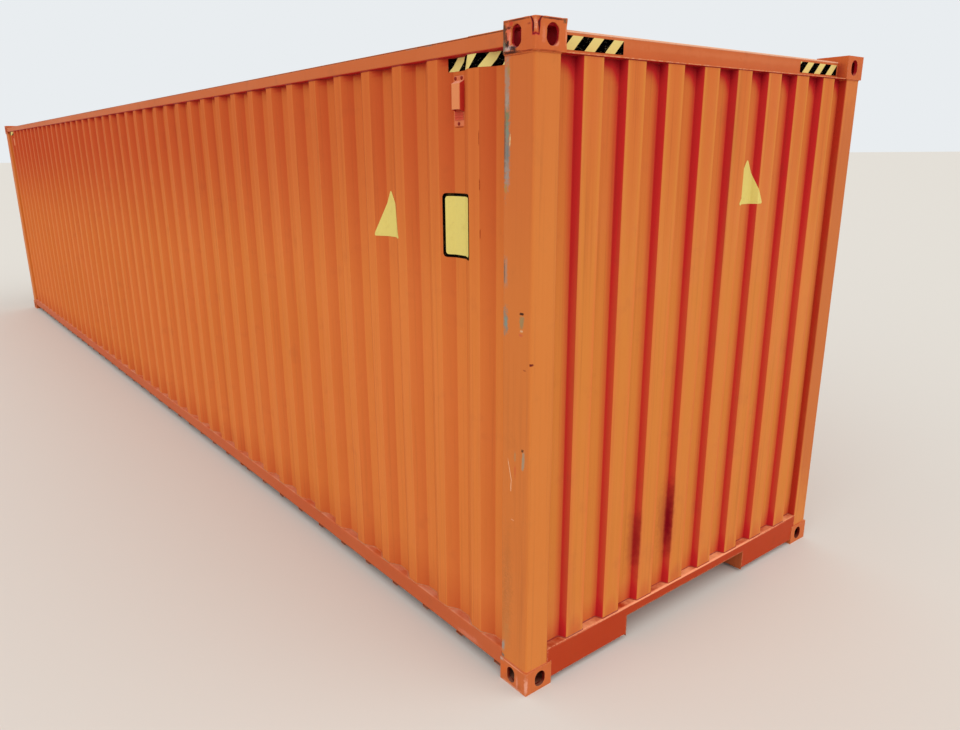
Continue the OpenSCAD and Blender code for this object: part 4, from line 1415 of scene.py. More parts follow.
@dataclass
class SideWalls:
    """Both corrugated side walls, with their welds and foils."""

    half_length: float
    pitch: float = 0.278
    flat: float = 0.070
    slope: float = 0.068
    first: float = 0.336
    count: int = 42
    sheet: float = 0.002
    crest_bend: float = 0.005
    foot_bend: float = 0.014
    wave: Wave = Wave(1, 0.0012, 1.1, 11)
    foot_weld: float = 0.0045
    head_weld: float = 0.0035
    # Painted shade of the side walls, with a painted highlight on the crest edges.
    cover: PaintedShade = PaintedShade(
        recess=0.0, drift=0.02, power=1.5, rising=0.1, falling=0.34, edge=0.12, edge_reach=0.004,
        high=0.42, foot=0.25, foot_reach=0.25, eave=0.95, eave_reach=0.045, rear=0.22,
    )
    tape_low: float = 2.749
    tape_high: float = 2.801
    tape_start: float = 5.529
    rear_tape_gap: float = 0.186
    tape_width: float = 0.405
    tape_zero: float = 0.003
    plate_start: float = 5.4945
    plate_width: float = 0.211
    plate_low: float = 1.972
    plate_high: float = 2.253
    plate_radius: float = 0.022
    plate_border: float = 0.013
    face_lift: float = 0.0018
    triangle: Triangle = Triangle(4.916, 0.246, 2.024, 2.254)

    def build(self, shop: Shop) -> None:
        """Build both walls."""
        for side, sign in SIDES.items():
            self.build_wall(shop, side, sign)

    def corrugation(self, box: Box) -> Corrugation:
        """Return the wall's corrugation, with Y made positive outwards."""
        inner, outer = np.sort(np.abs([box.low[1], box.high[1]]))
        crest_end = self.half_length - self.first
        start = crest_end - self.flat - (self.count - 1) * self.pitch
        return Corrugation(
            start, self.pitch, self.flat, self.slope, self.count, box.low[0], box.high[0],
            outer, inner + self.sheet, self.crest_bend, self.foot_bend,
        )

    def build_wall(self, shop: Shop, side: str, sign: float) -> None:
        """Build one wall, the beads where it meets the rails, and its foils.

        Args:
            shop: Where pieces are made.
            side: The side's name.
            sign: 1 on the right-hand side and -1 on the left.
        """
        node = f"side_wall_{side}"
        box = Box.of(node)
        form = self.corrugation(box)
        path = form.path(3, 2)
        stations = wall_rows(box.low[2], box.high[2])
        shift = self.wave.along(sign)
        painted_shade = form.painted_shade(path, stations, self.cover)
        line = path * (1.0, -sign)
        wall = bent_plate(line, stations, sign * self.sheet, Run.HEIGHT, shift=shift, painted_shade=painted_shade)
        shop.show(f"{node}_sheet", wall, SIDE_PAINT, (node,))
        coarse = form.path(1) * (1.0, -sign)
        foot = level_bead(coarse, box.low[2] + WELD_INSET, self.foot_weld, sign)
        head = level_bead(coarse, box.high[2] - WELD_INSET, self.head_weld, sign)
        shop.show(f"{node}_foot_weld", foot, RAIL_PAINT, crease=80)
        shop.show(f"{node}_head_weld", head, SHADE_PAINT, crease=80)
        self.foils(shop, side, sign, path, shift)

    def foils(self, shop: Shop, side: str, sign: float, path: Array, shift: Shift) -> None:
        """Lay the hazard tapes at both ends, and the blank plate and triangle near the front.

        Args:
            shop: Where pieces are made.
            side: The side's name.
            sign: 1 on the right-hand side and -1 on the left.
            path: The wall's line.
            shift: The wall's unevenness.
        """
        foils = Foils(path, 1, -sign, shift)
        for end, start in (("front", self.tape_start), ("rear", self.rear_tape_gap - self.half_length)):
            shell, uv = foils.tape(start, self.tape_width, self.tape_low, self.tape_high, self.tape_zero)
            shop.show(f"side_hazard_foil_{side}_{end}", shell, HAZARD, across=uv)
        border = "border", BLACK, 0.0, FOIL_LIFT
        face = "face", YELLOW, self.plate_border, self.face_lift
        for name, finish, inset, lift in (border, face):
            right, low, high = self.plate_width - inset, self.plate_low + inset, self.plate_high - inset
            corners = [(inset, low), (right, low), (right, high), (inset, high)]
            foil = foils.cut(self.plate_start, corners, self.plate_radius - inset / 2, lift)
            shop.show(f"height_plate_{name}_{side}", foil, finish)
        shop.show(f"side_triangle_{side}", self.triangle.on(foils), YELLOW)


@dataclass
class FrontWall:
    """The corrugated front wall, with its welds and its blank triangle."""

    first_edge: float = -0.952
    pitch: float = 0.256
    flat: float = 0.112
    slope: float = 0.018
    count: int = 8
    sheet: float = 0.002
    crest_bend: float = 0.005
    foot_bend: float = 0.012
    wave: Wave = Wave(0, 0.0008, 0.9, 21)
    foot_weld: float = 0.003
    head_weld: float = 0.0022
    triangle: Triangle = Triangle(0.163, 0.25, 2.158, 2.378)
    # Painted shade of the front wall, with a painted highlight on the crest edges.
    cover: PaintedShade = PaintedShade(
        recess=-0.18, drift=0.72, power=3.0, rising=1.0, falling=0.2, edge=0.45, edge_reach=0.014,
        high=0.28, foot=0.35, foot_reach=0.15, eave=1.35, eave_reach=0.115,
    )

    def build(self, shop: Shop) -> None:
        """Build the wall, its beads and its triangle."""
        box = Box.of("front_wall")
        form = Corrugation(
            self.first_edge, self.pitch, self.flat, self.slope, self.count, box.low[1], box.high[1],
            box.high[0], box.low[0] + self.sheet, self.crest_bend, self.foot_bend,
        )
        path = form.path(5, 5)
        stations = wall_rows(box.low[2], box.high[2])
        shift = self.wave.along()
        painted_shade = form.painted_shade(path, stations, self.cover)
        line = path[:, ::-1]
        wall = bent_plate(line, stations, self.sheet, Run.HEIGHT, shift=shift, painted_shade=painted_shade)
        shop.show("front_wall_sheet", wall, FRONT_PAINT, ("front_wall",))
        coarse = form.path(2)[:, ::-1]
        foot = level_bead(coarse, box.low[2] + WELD_INSET, self.foot_weld)
        head = level_bead(coarse, box.high[2] - WELD_INSET, self.head_weld)
        shop.show("front_wall_foot_weld", foot, SHADE_PAINT, crease=80)
        shop.show("front_wall_head_weld", head, SHADE_PAINT, crease=80)
        shop.show("front_triangle", self.triangle.on(Foils(path, 0, 1.0, shift)), YELLOW)


@dataclass
class Posts:
    """The four bent corner posts, with the welds that join them to the castings."""

    plate: float = 0.006
    bend: float = 0.014
    tight_bend: float = 0.007
    edge_return: float = 0.050
    seat: float = 0.040
    rows: int = 30
    weld: float = 0.003
    weld_inset: float = 0.002
    waviness: float = 0.0008
    # Painted shade on the post's side faces, more of it higher up, and on its front faces near the head.
    side_shelter: float = 0.12
    upper_shelter: float = 0.20
    head_shelter: float = 0.16

    def build(self, shop: Shop) -> None:
        """Build all four."""
        for side, y_sign in SIDES.items():
            self.build_post(shop, f"front_post_{side}", self.front_line(), 1.0, y_sign)
            self.build_post(shop, f"rear_post_{side}", self.rear_line(), -1.0, y_sign)

    def front_line(self) -> Array:
        """Return the front post's outer line on the right-hand side."""
        box = Box.of("front_post_right")
        x0, x1, y0, y1 = box.low[0], box.high[0], box.low[1], box.high[1]
        corners = [(x0, y0 + self.edge_return), (x0, y0), (x1, y0), (x1, y1), (x1 - self.edge_return, y1)]
        bends = np.array([self.tight_bend, self.tight_bend, self.bend, self.tight_bend, self.tight_bend])
        return rounded(corners, bends, 5)

    def rear_line(self) -> Array:
        """Return the rear post's outer line on the right-hand side, with X made positive."""
        box = Box.of("rear_post_right")
        x0, x1, y0, y1 = -box.high[0], -box.low[0], box.low[1], box.high[1]
        seat_x = -Box.of("door_seals").low[0]
        step_y = y1 - self.seat
        corners = [(x0, y0 + self.edge_return), (x0, y0), (x1, y0), (x1, step_y)]
        return rounded([*corners, (seat_x, step_y), (seat_x, y1)], self.bend, 5)

    def build_post(self, shop: Shop, node: str, line: Array, x_sign: float, y_sign: float) -> None:
        """Carry the line up the post, and lay a bead round each end.

        Args:
            shop: Where pieces are made.
            node: The frame's node.
            line: The outer line of the front or rear post on the right-hand side, with X positive.
            x_sign: 1 at the front and -1 at the rear.
            y_sign: 1 on the right-hand side and -1 on the left.
        """
        box = Box.of(node)
        stations = np.linspace(box.low[2], box.high[2], self.rows)
        seed = 31 + int(x_sign) + 3 * int(y_sign)

        def shift(points: Array) -> Array:
            """Bruise the post slightly across both faces, and leave its ends true."""
            rise = np.clip((points[..., 2] - box.low[2]) / (box.high[2] - box.low[2]), 0, 1)
            hold = np.sin(np.pi * rise)[..., None] ** 0.5
            wave = np.stack([ripple(points, 0.7, seed), ripple(points, 0.6, seed + 50), 0 * rise], -1)
            return self.waviness * wave * hold

        # Painted shade: redder on the faces that look out sideways, more so higher up, a little on the faces
        # that look ahead near the head, and in full on the faces that look inwards.
        normals = -side_normals(line)
        upper = smooth(stations, 1.7, 2.6)[:, None]
        outer = np.clip(-normals[:, 1], 0, 1) ** 2 * (self.side_shelter + self.upper_shelter * upper)
        ahead = np.clip(normals[:, 0], 0, 1) ** 2 * self.head_shelter * smooth(stations, 1.9, 2.75)[:, None]
        painted_shade = outer + ahead + np.clip(normals[:, 1], 0, 1) ** 2
        post = bent_plate(line, stations, self.plate, Run.HEIGHT, shift=shift, painted_shade=painted_shade)
        post = post.mirrored(x_sign, y_sign)
        shop.show(f"{node}_plate", post, FRAME_PAINT, (node,), crease=50)
        ends = box.low[2] + self.weld_inset, box.high[2] - self.weld_inset
        beads = [level_bead(line, z, self.weld).mirrored(x_sign, y_sign) for z in ends]
        shop.show(f"{node}_welds", Shell.joined(beads), CASTING_PAINT, crease=80)


@dataclass
class Rails:
    """The long rails: square tubes on top, and bent channels below."""

    tube: float = 0.003
    tube_bend: float = 0.009
    tube_wave: Wave = Wave(1, 0.0012, 1.6, 41)
    channel: float = 0.0045
    channel_bend: float = 0.010
    flange: float = 0.048
    lip: float = 0.030
    channel_wave: Wave = Wave(1, 0.001, 1.3, 43)
    stations: int = 90

    def build(self, shop: Shop) -> None:
        """Build both pairs."""
        for side, sign in SIDES.items():
            self.build_top(shop, side, sign)
            self.build_bottom(shop, side, sign)

    def build_top(self, shop: Shop, side: str, sign: float) -> None:
        """Carry the rounded square along the top."""
        box = Box.of("top_side_rail_right")
        (y0, z0), (y1, z1) = box.low[1:], box.high[1:]
        line = rounded([(y0, z0), (y1, z0), (y1, z1), (y0, z1)], self.tube_bend, 4, ring=True)
        stations = np.linspace(box.low[0], box.high[0], self.stations)
        shift = self.tube_wave.along(sign)
        rail = bent_plate(line, stations, self.tube, Run.LENGTH, ring=True, shift=shift).mirrored(y=sign)
        node = f"top_side_rail_{side}"
        shop.show(f"{node}_tube", rail, RAIL_PAINT, (node,), crease=50)

    def build_bottom(self, shop: Shop, side: str, sign: float) -> None:
        """Carry the channel along the bottom, with a few shallow bruises."""
        box = Box.of("bottom_side_rail_right")
        y0, z0, z1 = box.low[1], box.low[2], box.high[2]
        corners = [(y0 + self.flange, z1), (y0, z1), (y0, z0), (y0 + self.lip, z0)]
        line = rounded(corners, self.channel_bend, 4)
        stations = np.linspace(box.low[0], box.high[0], self.stations)
        dents = [
            Dent((4.1, y0, 0.1), (0.12, 0.1, 0.06), (0, 0.003, 0)),
            Dent((1.3, y0, 0.08), (0.2, 0.1, 0.06), (0, 0.004, 0)),
            Dent((-2.6, y0, 0.1), (0.15, 0.1, 0.08), (0, 0.003, 0)),
        ]
        shift = self.channel_wave.along(sign, dents)
        rail = bent_plate(line, stations, self.channel, Run.LENGTH, shift=shift).mirrored(y=sign)
        node = f"bottom_side_rail_{side}"
        shop.show(f"{node}_channel", rail, BOTTOM_PAINT, (node,), crease=50)


@dataclass
class EndFrames:
    """The header and sill of both ends, with the hazard foils on the headers."""

    tube: float = 0.004
    tube_depth: float = 0.062
    bend: float = 0.009
    shelf: float = 0.004
    shelf_lap: float = 0.012
    shelf_bend: float = 0.002
    wave: Wave = Wave(0, 0.0007, 0.9, 51)
    seam: float = 0.0042
    seam_inset: float = 0.003
    seam_drop: float = 0.0025
    sill_weld: float = 0.0045
    sill_weld_inset: float = 0.0025
    edge: float = 0.0018
    foil_outer: float = 1.044
    foil_length: float = 0.365
    foil_low: float = 2.798
    foil_high: float = 2.850
    foil_zero: float = 0.0205
    rows: int = 24

    def build(self, shop: Shop) -> None:
        """Build the front header from its section, and round the other three."""
        box = Box.of("front_header")
        x0, x2, z0, z1 = box.low[0], box.high[0], box.low[2], box.high[2]
        x1 = x0 + self.tube_depth
        stations = np.linspace(box.low[1], box.high[1], self.rows)
        shift = self.wave.along()
        ring = rounded([(x0, z0), (x1, z0), (x1, z1), (x0, z1)], self.bend, 4, ring=True)
        tube = bent_plate(ring, stations, self.tube, Run.WIDTH, ring=True, shift=shift)
        lip = [(x1 - self.shelf_lap, z0), (x2 - 0.003, z0), (x2, z0 + 0.0005)]
        ledge = bent_plate(rounded(lip, self.shelf_bend, 2), stations, self.shelf, Run.WIDTH, shift=shift)
        shell = Shell.joined([tube, ledge])
        shop.show("front_header_tube", shell, HEADER_PAINT, ("front_header",), crease=50)
        # The seam bead fills the groove under the roof plate, and its pale paint is a painted highlight.
        level = 0 * stations
        track = np.stack([level + x1 - self.seam_inset, stations, level + z1 - self.seam_drop], 1)
        seam = weld_bead(track + shift(track), np.array([[1.0, 0.0, 0.0]]), np.array(UP), self.seam)
        shop.show("front_header_seam", seam, SEAM_HIGHLIGHT_PAINT, crease=80)
        shop.soften("front_sill_angle", "front_sill", SILL_PAINT, self.edge)
        self.sill_welds(shop)
        shop.soften("door_header_angle", "door_header", HEADER_PAINT, self.edge)
        shop.soften("door_sill_angle", "door_sill", SILL_PAINT, self.edge)
        self.foils(shop, "front", x1, 1.0, shift)
        self.foils(shop, "rear", -Box.of("door_header").low[0], -1.0, None)

    def sill_welds(self, shop: Shop) -> None:
        """Lay an upright bead where each end of the front sill meets its post."""
        box, post = Box.of("front_sill"), Box.of("front_post_right")
        z = np.linspace(post.low[2], box.high[2], 9)
        track = np.stack([0 * z + post.high[0] - self.sill_weld_inset, 0 * z - box.high[1], z], 1)
        bead = weld_bead(track, np.array([[0.0, 1.0, 0.0]]), np.array([1.0, 0.0, 0.0]), self.sill_weld)
        shop.show("front_sill_welds", Shell.joined([bead, bead.mirrored(y=-1.0)]), SILL_PAINT, crease=80)

    def foils(self, shop: Shop, end: str, face: float, sign: float, shift: Shift | None) -> None:
        """Lay both foils of one header.

        Args:
            shop: Where pieces are made.
            end: The end's name.
            face: How far the header's face is from the middle.
            sign: 1 at the front and -1 at the rear.
            shift: The header's unevenness, or None.
        """
        line = np.array([(-self.foil_outer, face), (self.foil_outer, face)])
        foils = Foils(line, 0, sign, shift, columns=24)
        for side, start in (("right", -self.foil_outer), ("left", self.foil_outer - self.foil_length)):
            shell, uv = foils.tape(start, self.foil_length, self.foil_low, self.foil_high, self.foil_zero)
            shop.show(f"{end}_hazard_foil_{side}", shell, HAZARD, across=uv)


@dataclass
class Castings:
    """The eight corner castings. The near upper one is bruised."""

    edge: float = 0.0045
    voxel: float = 0.0024
    bruised: str = "casting_front_right_top"
    gouge_half: float = 0.016
    gouge_flare: float = 0.020
    gouge_shift: float = 0.003
    gouge_depth: float = 0.062
    gouge_sink: float = 0.004
    groove: float = 0.0045
    groove_half: float = 0.0038
    pitting: float = 0.0005
    pit_reach: float = 0.03
    pit_seed: int = 61
    border_waviness: float = 0.0012
    border_reach: float = 0.022
    border_seed: int = 62

    def build(self, shop: Shop) -> None:
        """Round seven and bruise one."""
        for end in ENDS:
            for side in SIDES:
                for level in ("bottom", "top"):
                    node = f"casting_{end}_{side}_{level}"
                    if node == self.bruised:
                        self.bruise(shop, node)
                    else:
                        finish = CASTING_FOOT_PAINT if level == "bottom" else CASTING_PAINT
                        shop.soften(f"{node}_body", node, finish, self.edge, 3, painted_shade=self.hidden(node))

    def hidden(self, node: str) -> Shift:
        """Return the painted shade of the casting's hidden faces: 0 on its outer skin, 1 from 5 mm inside it
        and 1.3 deep in it.
        """
        box = Box.of(node)

        def painted_shade(centres: Array) -> Array:
            """Return the value at each face's centre."""
            inside = np.minimum(centres - box.low, box.high - centres).min(1)
            return smooth(inside, 0.002, 0.005) + 0.3 * smooth(inside, 0.008, 0.02)

        return painted_shade

    def bruise(self, shop: Shop, node: str) -> None:
        """Remesh the casting finely and press the gouge into its outer upright edge."""
        rough = added("rough casting", shop.merged(node))
        remesh = rough.modifiers.new("fine grid", "REMESH")
        remesh.mode = "VOXEL"
        remesh.voxel_size = self.voxel
        graph = bpy.context.evaluated_depsgraph_get()
        mesh = bpy.data.meshes.new_from_object(rough.evaluated_get(graph))
        bpy.data.objects.remove(rough)
        box = Box.of(node)
        hidden = self.hidden(node)
        # Painted shade on the hidden faces, and painted shadow along the gouge's groove.
        shop.cover(mesh, lambda centres: np.maximum(hidden(centres), 4 * self.gouge(centres, box)[1]))
        points = np.empty(len(mesh.vertices) * 3)
        mesh.vertices.foreach_get("co", points)
        points = points.reshape(-1, 3)
        sunk, line = self.gouge(points, box)
        pits = self.pitting * ripple(points, self.pit_reach, self.pit_seed)[:, None] * (1.0, 1.0, 0.6)
        deep = (self.gouge_sink * sunk + self.groove * line)[:, None]
        points = points + pits + deep * np.array([-1.0, 1.0, -0.25]) / math.sqrt(2)
        mesh.vertices.foreach_set("co", points.ravel())
        shop.settle(f"{node}_body", mesh, CASTING_PAINT, (node,), 180)

    def gouge(self, points: Array, box: Box) -> tuple[Array, Array]:
        """Return how far each point is in the gouge, and how far in the groove round it, which is sunk and
        gets painted shadow, 0 to 1.

        Round the outer upright edge, s is the distance from the edge, less a shift, and d the depth from
        the top. The gouge is as wide as gouge_half plus the flare times an exponential of the depth, and
        ends level at gouge_depth. The groove is a bell curve across the border, weaker at its foot. Both
        fade within a few millimetres of the outer skin.

        Args:
            points: The points.
            box: The casting's box.

        Returns:
            The gouge's values and the groove's.
        """
        back, inward = box.high[0] - points[:, 0], points[:, 1] - box.low[1]
        s, d = inward - back - self.gouge_shift, np.clip(box.high[2] - points[:, 2], 0, None)
        skin = np.exp(-((np.minimum(back, inward) / 0.006) ** 2)) * (np.maximum(back, inward) < 0.06)
        width = self.gouge_half + self.gouge_flare * np.exp(-d / 0.007)
        border = np.maximum(np.abs(s) - width, d - self.gouge_depth)
        border += self.border_waviness * ripple(points, self.border_reach, self.border_seed)
        sunk = skin / (1 + np.exp(np.clip(border / 0.0012, -40, 40)))
        line = skin * np.exp(-((border / self.groove_half) ** 2)) * (1 - 0.55 * smooth(d, 0.045, 0.060))
        return sunk, line


@dataclass
class Roof:
    """The pressed roof sheet and its end plates."""

    pitch: float = 0.209
    count: int = 54
    crest: float = 0.068
    slope: float = 0.025
    height: float = 0.020
    end_foot: float = 1.124
    end_slope: float = 0.060
    sheet: float = 0.002
    bend: float = 0.02
    end_bend: float = 0.03
    wave: Wave = Wave(2, 0.0015, 1.2, 71)
    plate_edge: float = 0.001
    rows_between: int = 12

    def build(self, shop: Shop) -> None:
        """Build the sheet, and round the plates.

        The height of a point is the ridge height times a trapezoid in X times a trapezoid in Y, both
        rounded, over the sheet's own level, plus a slow ripple.
        """
        box = Box.of("roof_panel")
        start = -(self.count - 1) / 2 * self.pitch - self.crest / 2
        form = Corrugation(
            start, self.pitch, self.crest, self.slope, self.count, box.low[0], box.high[0], 1.0, 0.0,
            self.bend, self.bend,
        )
        along, foot, flank = form.path(3), self.end_foot, self.end_foot - self.end_slope
        corners = [(box.low[1], 0), (-foot, 0), (-flank, 1), (flank, 1), (foot, 0), (box.high[1], 0)]
        across = rounded(corners, self.end_bend, 4)
        middle = np.linspace(-flank + 0.05, flank - 0.05, self.rows_between)
        places = np.sort(np.concatenate([across[:, 0], middle]))
        rise = np.interp(places, across[:, 0], across[:, 1])
        low = box.low[2] + self.sheet
        x, y = np.broadcast_arrays(along[:, 0][None], places[:, None])
        z = low + self.height * rise[:, None] * along[:, 1][None]
        top = np.stack([x, y, z], -1)
        hold = np.clip((box.high[1] - np.abs(y)) / 0.3, 0, 1)
        sag = self.wave.along()(top)[..., 2] * hold
        top[..., 2] += sag - 0.001
        bottom = top - (0, 0, self.sheet - 0.0004)
        shop.show("roof_panel_sheet", closed_sheet(top, bottom), ROOF_PAINT, ("roof_panel",))
        for end in ENDS:
            shop.soften(f"roof_plate_{end}_sheet", f"roof_plate_{end}", ROOF_PAINT, self.plate_edge, 1)


@dataclass
class Underframe:
    """Floor boards, cross members, outriggers and the gooseneck tunnel."""

    fold: float = 0.0016
    board_edge: float = 0.0015

    def build(self, shop: Shop) -> None:
        """Round every piece's edges."""
        shop.soften("floor_boards", "floor_boards_panel", PLYWOOD, self.board_edge, 1)
        for node in ("cross_members", "outriggers_right", "outriggers_left", "gooseneck_tunnel"):
            shop.soften(f"{node}_steel", node, UNDER_PAINT, self.fold, 1)


@dataclass
class Doors:
    """Both leaves: frames, corrugated sheets and seals."""

    ridges: int = 6
    slope: float = 0.040
    valley: float = 0.090
    sheet: float = 0.002
    bend: float = 0.016
    wave: Wave = Wave(0, 0.0008, 0.6, 81)
    rows: int = 14
    frame_edge: float = 0.0025
    seal_edge: float = 0.003

    def build(self, shop: Shop) -> None:
        """Build each leaf, then the seals."""
        for side, sign in SIDES.items():
            shop.soften(f"door_frame_{side}_tube", f"door_frame_{side}", DOOR_PAINT, self.frame_edge)
            self.build_sheet(shop, side, sign)
        shop.soften("door_seals_rubber", "door_seals", RUBBER, self.seal_edge)

    def build_sheet(self, shop: Shop, side: str, sign: float) -> None:
        """Carry the ridged line across the leaf."""
        box = Box.of("door_sheet_right")
        outer, inner = -box.low[0], -box.high[0] + self.sheet
        low, high = box.low[2], box.high[2]
        pitch = (high - low + self.valley) / self.ridges
        corners = [(low, outer)]
        for k in range(self.ridges - 1):
            foot = low + (k + 1) * pitch - self.valley
            for z, depths in ((foot, (outer, inner)), (foot + self.valley, (inner, outer))):
                corners += [(z - self.slope / 2, depths[0]), (z + self.slope / 2, depths[1])]
        corners.append((high, outer))
        line = rounded(np.array(corners)[:, ::-1], self.bend, 4)
        stations = np.linspace(box.low[1], box.high[1], self.rows)
        shift = self.wave.along(sign)
        sheet = bent_plate(line, stations, self.sheet, Run.WIDTH, shift=shift).mirrored(-1.0, sign)
        shop.show(f"door_sheet_{side}_panel", sheet, DOOR_PAINT, (f"door_sheet_{side}",))


@dataclass
class DoorGear:
    """Locking bars, their brackets, keepers and handles, and the hinges."""

    bar_edge: float = 0.003
    edge: float = 0.002
    keeper_edge: float = 0.0025

    def build(self, shop: Shop) -> None:
        """Round each piece."""
        for side in SIDES:
            for place in ("outer", "inner"):
                node = f"locking_bar_{side}_{place}"
                shop.soften(f"{node}_tube", node, BAR_PAINT, self.bar_edge)
            shop.soften(f"hinges_{side}_steel", f"hinges_{side}", ZINC, self.edge)
        shop.soften("bar_keepers_steel", "bar_keepers", ZINC, self.keeper_edge)
        for node in ("bar_brackets", "door_handles"):
            shop.soften(f"{node}_steel", node, ZINC, self.edge)


@dataclass
class Ventilators:
    """The small weather hoods under the top rails: a plate with two bolts above and one below, and a
    hood of thin sheet that is open at its foot."""

    half_width: float = 0.035
    plate: float = 0.0022
    plate_half: float = 0.0345
    plate_bend: float = 0.006
    hood_left: float = 0.0190
    hood_right: float = 0.0335
    hood_proud: float = 0.0265
    hood_low: float = 0.069
    hood_high: float = 0.171
    hood_foot: float = 0.010
    hood_head: float = 0.014
    hood_bend: float = 0.004
    sheet: float = 0.0016
    sheet_behind: float = 0.002
    bolt: float = 0.0080
    slats: int = 5
    slat_low: float = 0.027
    slat_high: float = 0.080
    slat_proud: float = 0.0065
    slat_left: float = 0.0265
    slat_right: float = 0.0315
    slat_lean: float = 0.0035
    slat_step: float = 0.0015
    slat_sheet: float = 0.0008
    # Painted shade on the plate and on the slats under the hood.
    plate_shelter: float = 0.35
    slat_shelter: float = 0.8

    def build(self, shop: Shop) -> None:
        """Build the plates, the hoods and the bolts of all four.

        Each is built at X = 0 with its plate's foot at Z = 0, and placed by the boxes of the CAD node.
        """
        box = Box.of("ventilators")
        middles = (box.high[0] - self.half_width, box.low[0] + self.half_width)
        wall = np.abs(Box.of("side_wall_right").high[1]) + self.sheet_behind
        height = box.high[2] - box.low[2]
        for name, parts, finish, nodes in (
            ("hoods", self.hood(), VENT_PAINT, ("ventilators",)),
            ("plates", self.base(height), VENT_PAINT, ()),
            ("bolts", self.bolts(height), VENT_BOLT_PAINT, ()),
        ):
            places = [(sign, (x, -wall, box.low[2])) for sign in SIDES.values() for x in middles]
            shells = [part.moved(place).mirrored(y=sign) for sign, place in places for part in parts]
            shop.show(f"ventilator_{name}", Shell.joined(shells), finish, nodes, crease=50)

    def hood(self) -> list[Shell]:
        """Bend the hood of thin sheet.

        The cover's line goes out along one cheek, across the face and back along the other. Its foot
        rises in a straight line from the wall outwards, and its head falls outwards.

        Returns:
            The bent cover and its sloping head.
        """
        left, right, proud = -self.hood_left, self.hood_right, -self.hood_proud
        line = rounded([(left, 0), (left, proud), (right, proud), (right, 0)], self.hood_bend, 4)
        inner = line - side_normals(line) * self.sheet
        t = np.linspace(0, 1, 6)[:, None]
        grids = []
        for path in (line, inner):
            out = np.clip(-path[:, 1] / self.hood_proud, 0, 1)
            low = self.hood_low - self.hood_foot * (1 - out)
            high = self.hood_high + self.hood_head * (1 - out)
            z = low * (1 - t) + high * t
            x, y = (np.broadcast_to(column, z.shape) for column in path.T)
            grids.append(np.stack([x, y, z], -1))
        # Painted shade on the hood's cheeks.
        cheek_shade = np.clip(1 - np.abs(side_normals(line)[:, 1]), 0, 1) ** 2
        cover = closed_sheet(grids[0], grids[1], painted_shade=cheek_shade)
        out = np.linspace(0, 1, 5)[:, None]
        x = np.linspace(left + 0.0004, right - 0.0004, 8)[None]
        y, z = proud * out, self.hood_high + self.hood_head * (1 - out)
        x, y, z = np.broadcast_arrays(x, y, z)
        top = np.stack([x, y, z], -1)
        head = closed_sheet(top, top - (0, 0, self.sheet), painted_shade=np.zeros(8))
        return [cover, head]

    def base(self, height: float) -> list[Shell]:
        """Build what stands against the wall.

        The panel's line goes out from the plate, and then each slat leans in over its own height and
        steps out again.

        Args:
            height: The plate's height.

        Returns:
            The plate, and the slatted panel that reaches out below the hood.
        """
        half = self.plate_half
        corners = [(-half, 0), (half, 0), (half, height), (-half, height)]
        outline = rounded(corners, self.plate_bend, 3, ring=True)
        centre = outline.mean(0)
        ring = centre + (outline - centre) * np.array([1.0, 0.97, 0.93])[:, None, None]
        depth = np.array([0.0, -self.plate, -self.plate - 0.0006])
        grid = np.stack([ring[..., 0], np.broadcast_to(depth[:, None], ring.shape[:2]), ring[..., 1]], -1)
        plate = ringed(grid)
        plate.painted_shade = np.full(len(plate.points), self.plate_shelter)
        edges = np.linspace(self.slat_low, self.slat_high, self.slats + 1)
        line = [(-self.plate, self.slat_low - 0.001)]
        for low, high in zip(edges[:-1], edges[1:]):
            line += [(-self.slat_proud, low), (self.slat_lean - self.slat_proud, high - self.slat_step)]
        line = np.array([*line, (-self.plate, self.slat_high)])
        stations = np.linspace(-self.slat_left, self.slat_right, 5)
        shade = np.full(len(line), self.slat_shelter)
        slats = bent_plate(line, stations, -self.slat_sheet, Run.LENGTH, painted_shade=shade)
        return [plate, slats]

    def bolts(self, height: float) -> list[Shell]:
        """Return the domed heads: two near the plate's head, one near its foot."""
        angle = np.linspace(0, math.pi / 2, 4)
        profile = [(self.bolt, 0.0), *zip(self.bolt * np.cos(angle), 0.0015 + 0.004 * np.sin(angle))][:-1]
        profile = [(radius, -rise) for radius, rise in profile + [(0.0012, 0.0055)]]
        spots = ((-0.021, height - 0.011), (0.021, height - 0.011), (0.0, 0.012))
        return [turned(profile, (x, -self.plate, z), Run.WIDTH, 10) for x, z in spots]


@dataclass(frozen=True)
class Camera:
    """The photograph's view: place, direction and lens, with pixels counted in a 960 by 730 frame."""

    place: Point = (8.27395, -3.25039, 2.42618)
    azimuth: float = 0.91572722
    elevation: float = 0.2812953
    roll: float = -0.01171232
    focal_pixels: float = 761.287
    centre_pixels: tuple[float, float] = (460.213, 371.899)
    frame_pixels: tuple[int, int] = (960, 730)
    sensor: float = 36.0

    def build(self) -> None:
        """Add the camera: its back vector is (sin az cos el, -cos az cos el, sin el)."""
        az, el = self.azimuth, self.elevation
        back = np.array([math.sin(az) * math.cos(el), -math.cos(az) * math.cos(el), math.sin(el)])
        level = np.cross(-back, [0, 0, 1])
        level /= np.linalg.norm(level)
        upright = np.cross(level, -back)
        right = math.cos(self.roll) * level + math.sin(self.roll) * upright
        up = math.cos(self.roll) * upright - math.sin(self.roll) * level
        data = bpy.data.cameras.new("camera")
        width, height = self.frame_pixels
        data.sensor_width = self.sensor
        data.lens = self.focal_pixels / width * self.sensor
        data.shift_x = (width / 2 - self.centre_pixels[0]) / width
        data.shift_y = (self.centre_pixels[1] - height / 2) / width
        data.clip_end = 400
        camera = added("camera", data)
        camera.matrix_world = Matrix((*zip(right, up, back, self.place), (0, 0, 0, 1)))
        bpy.context.scene.camera = camera


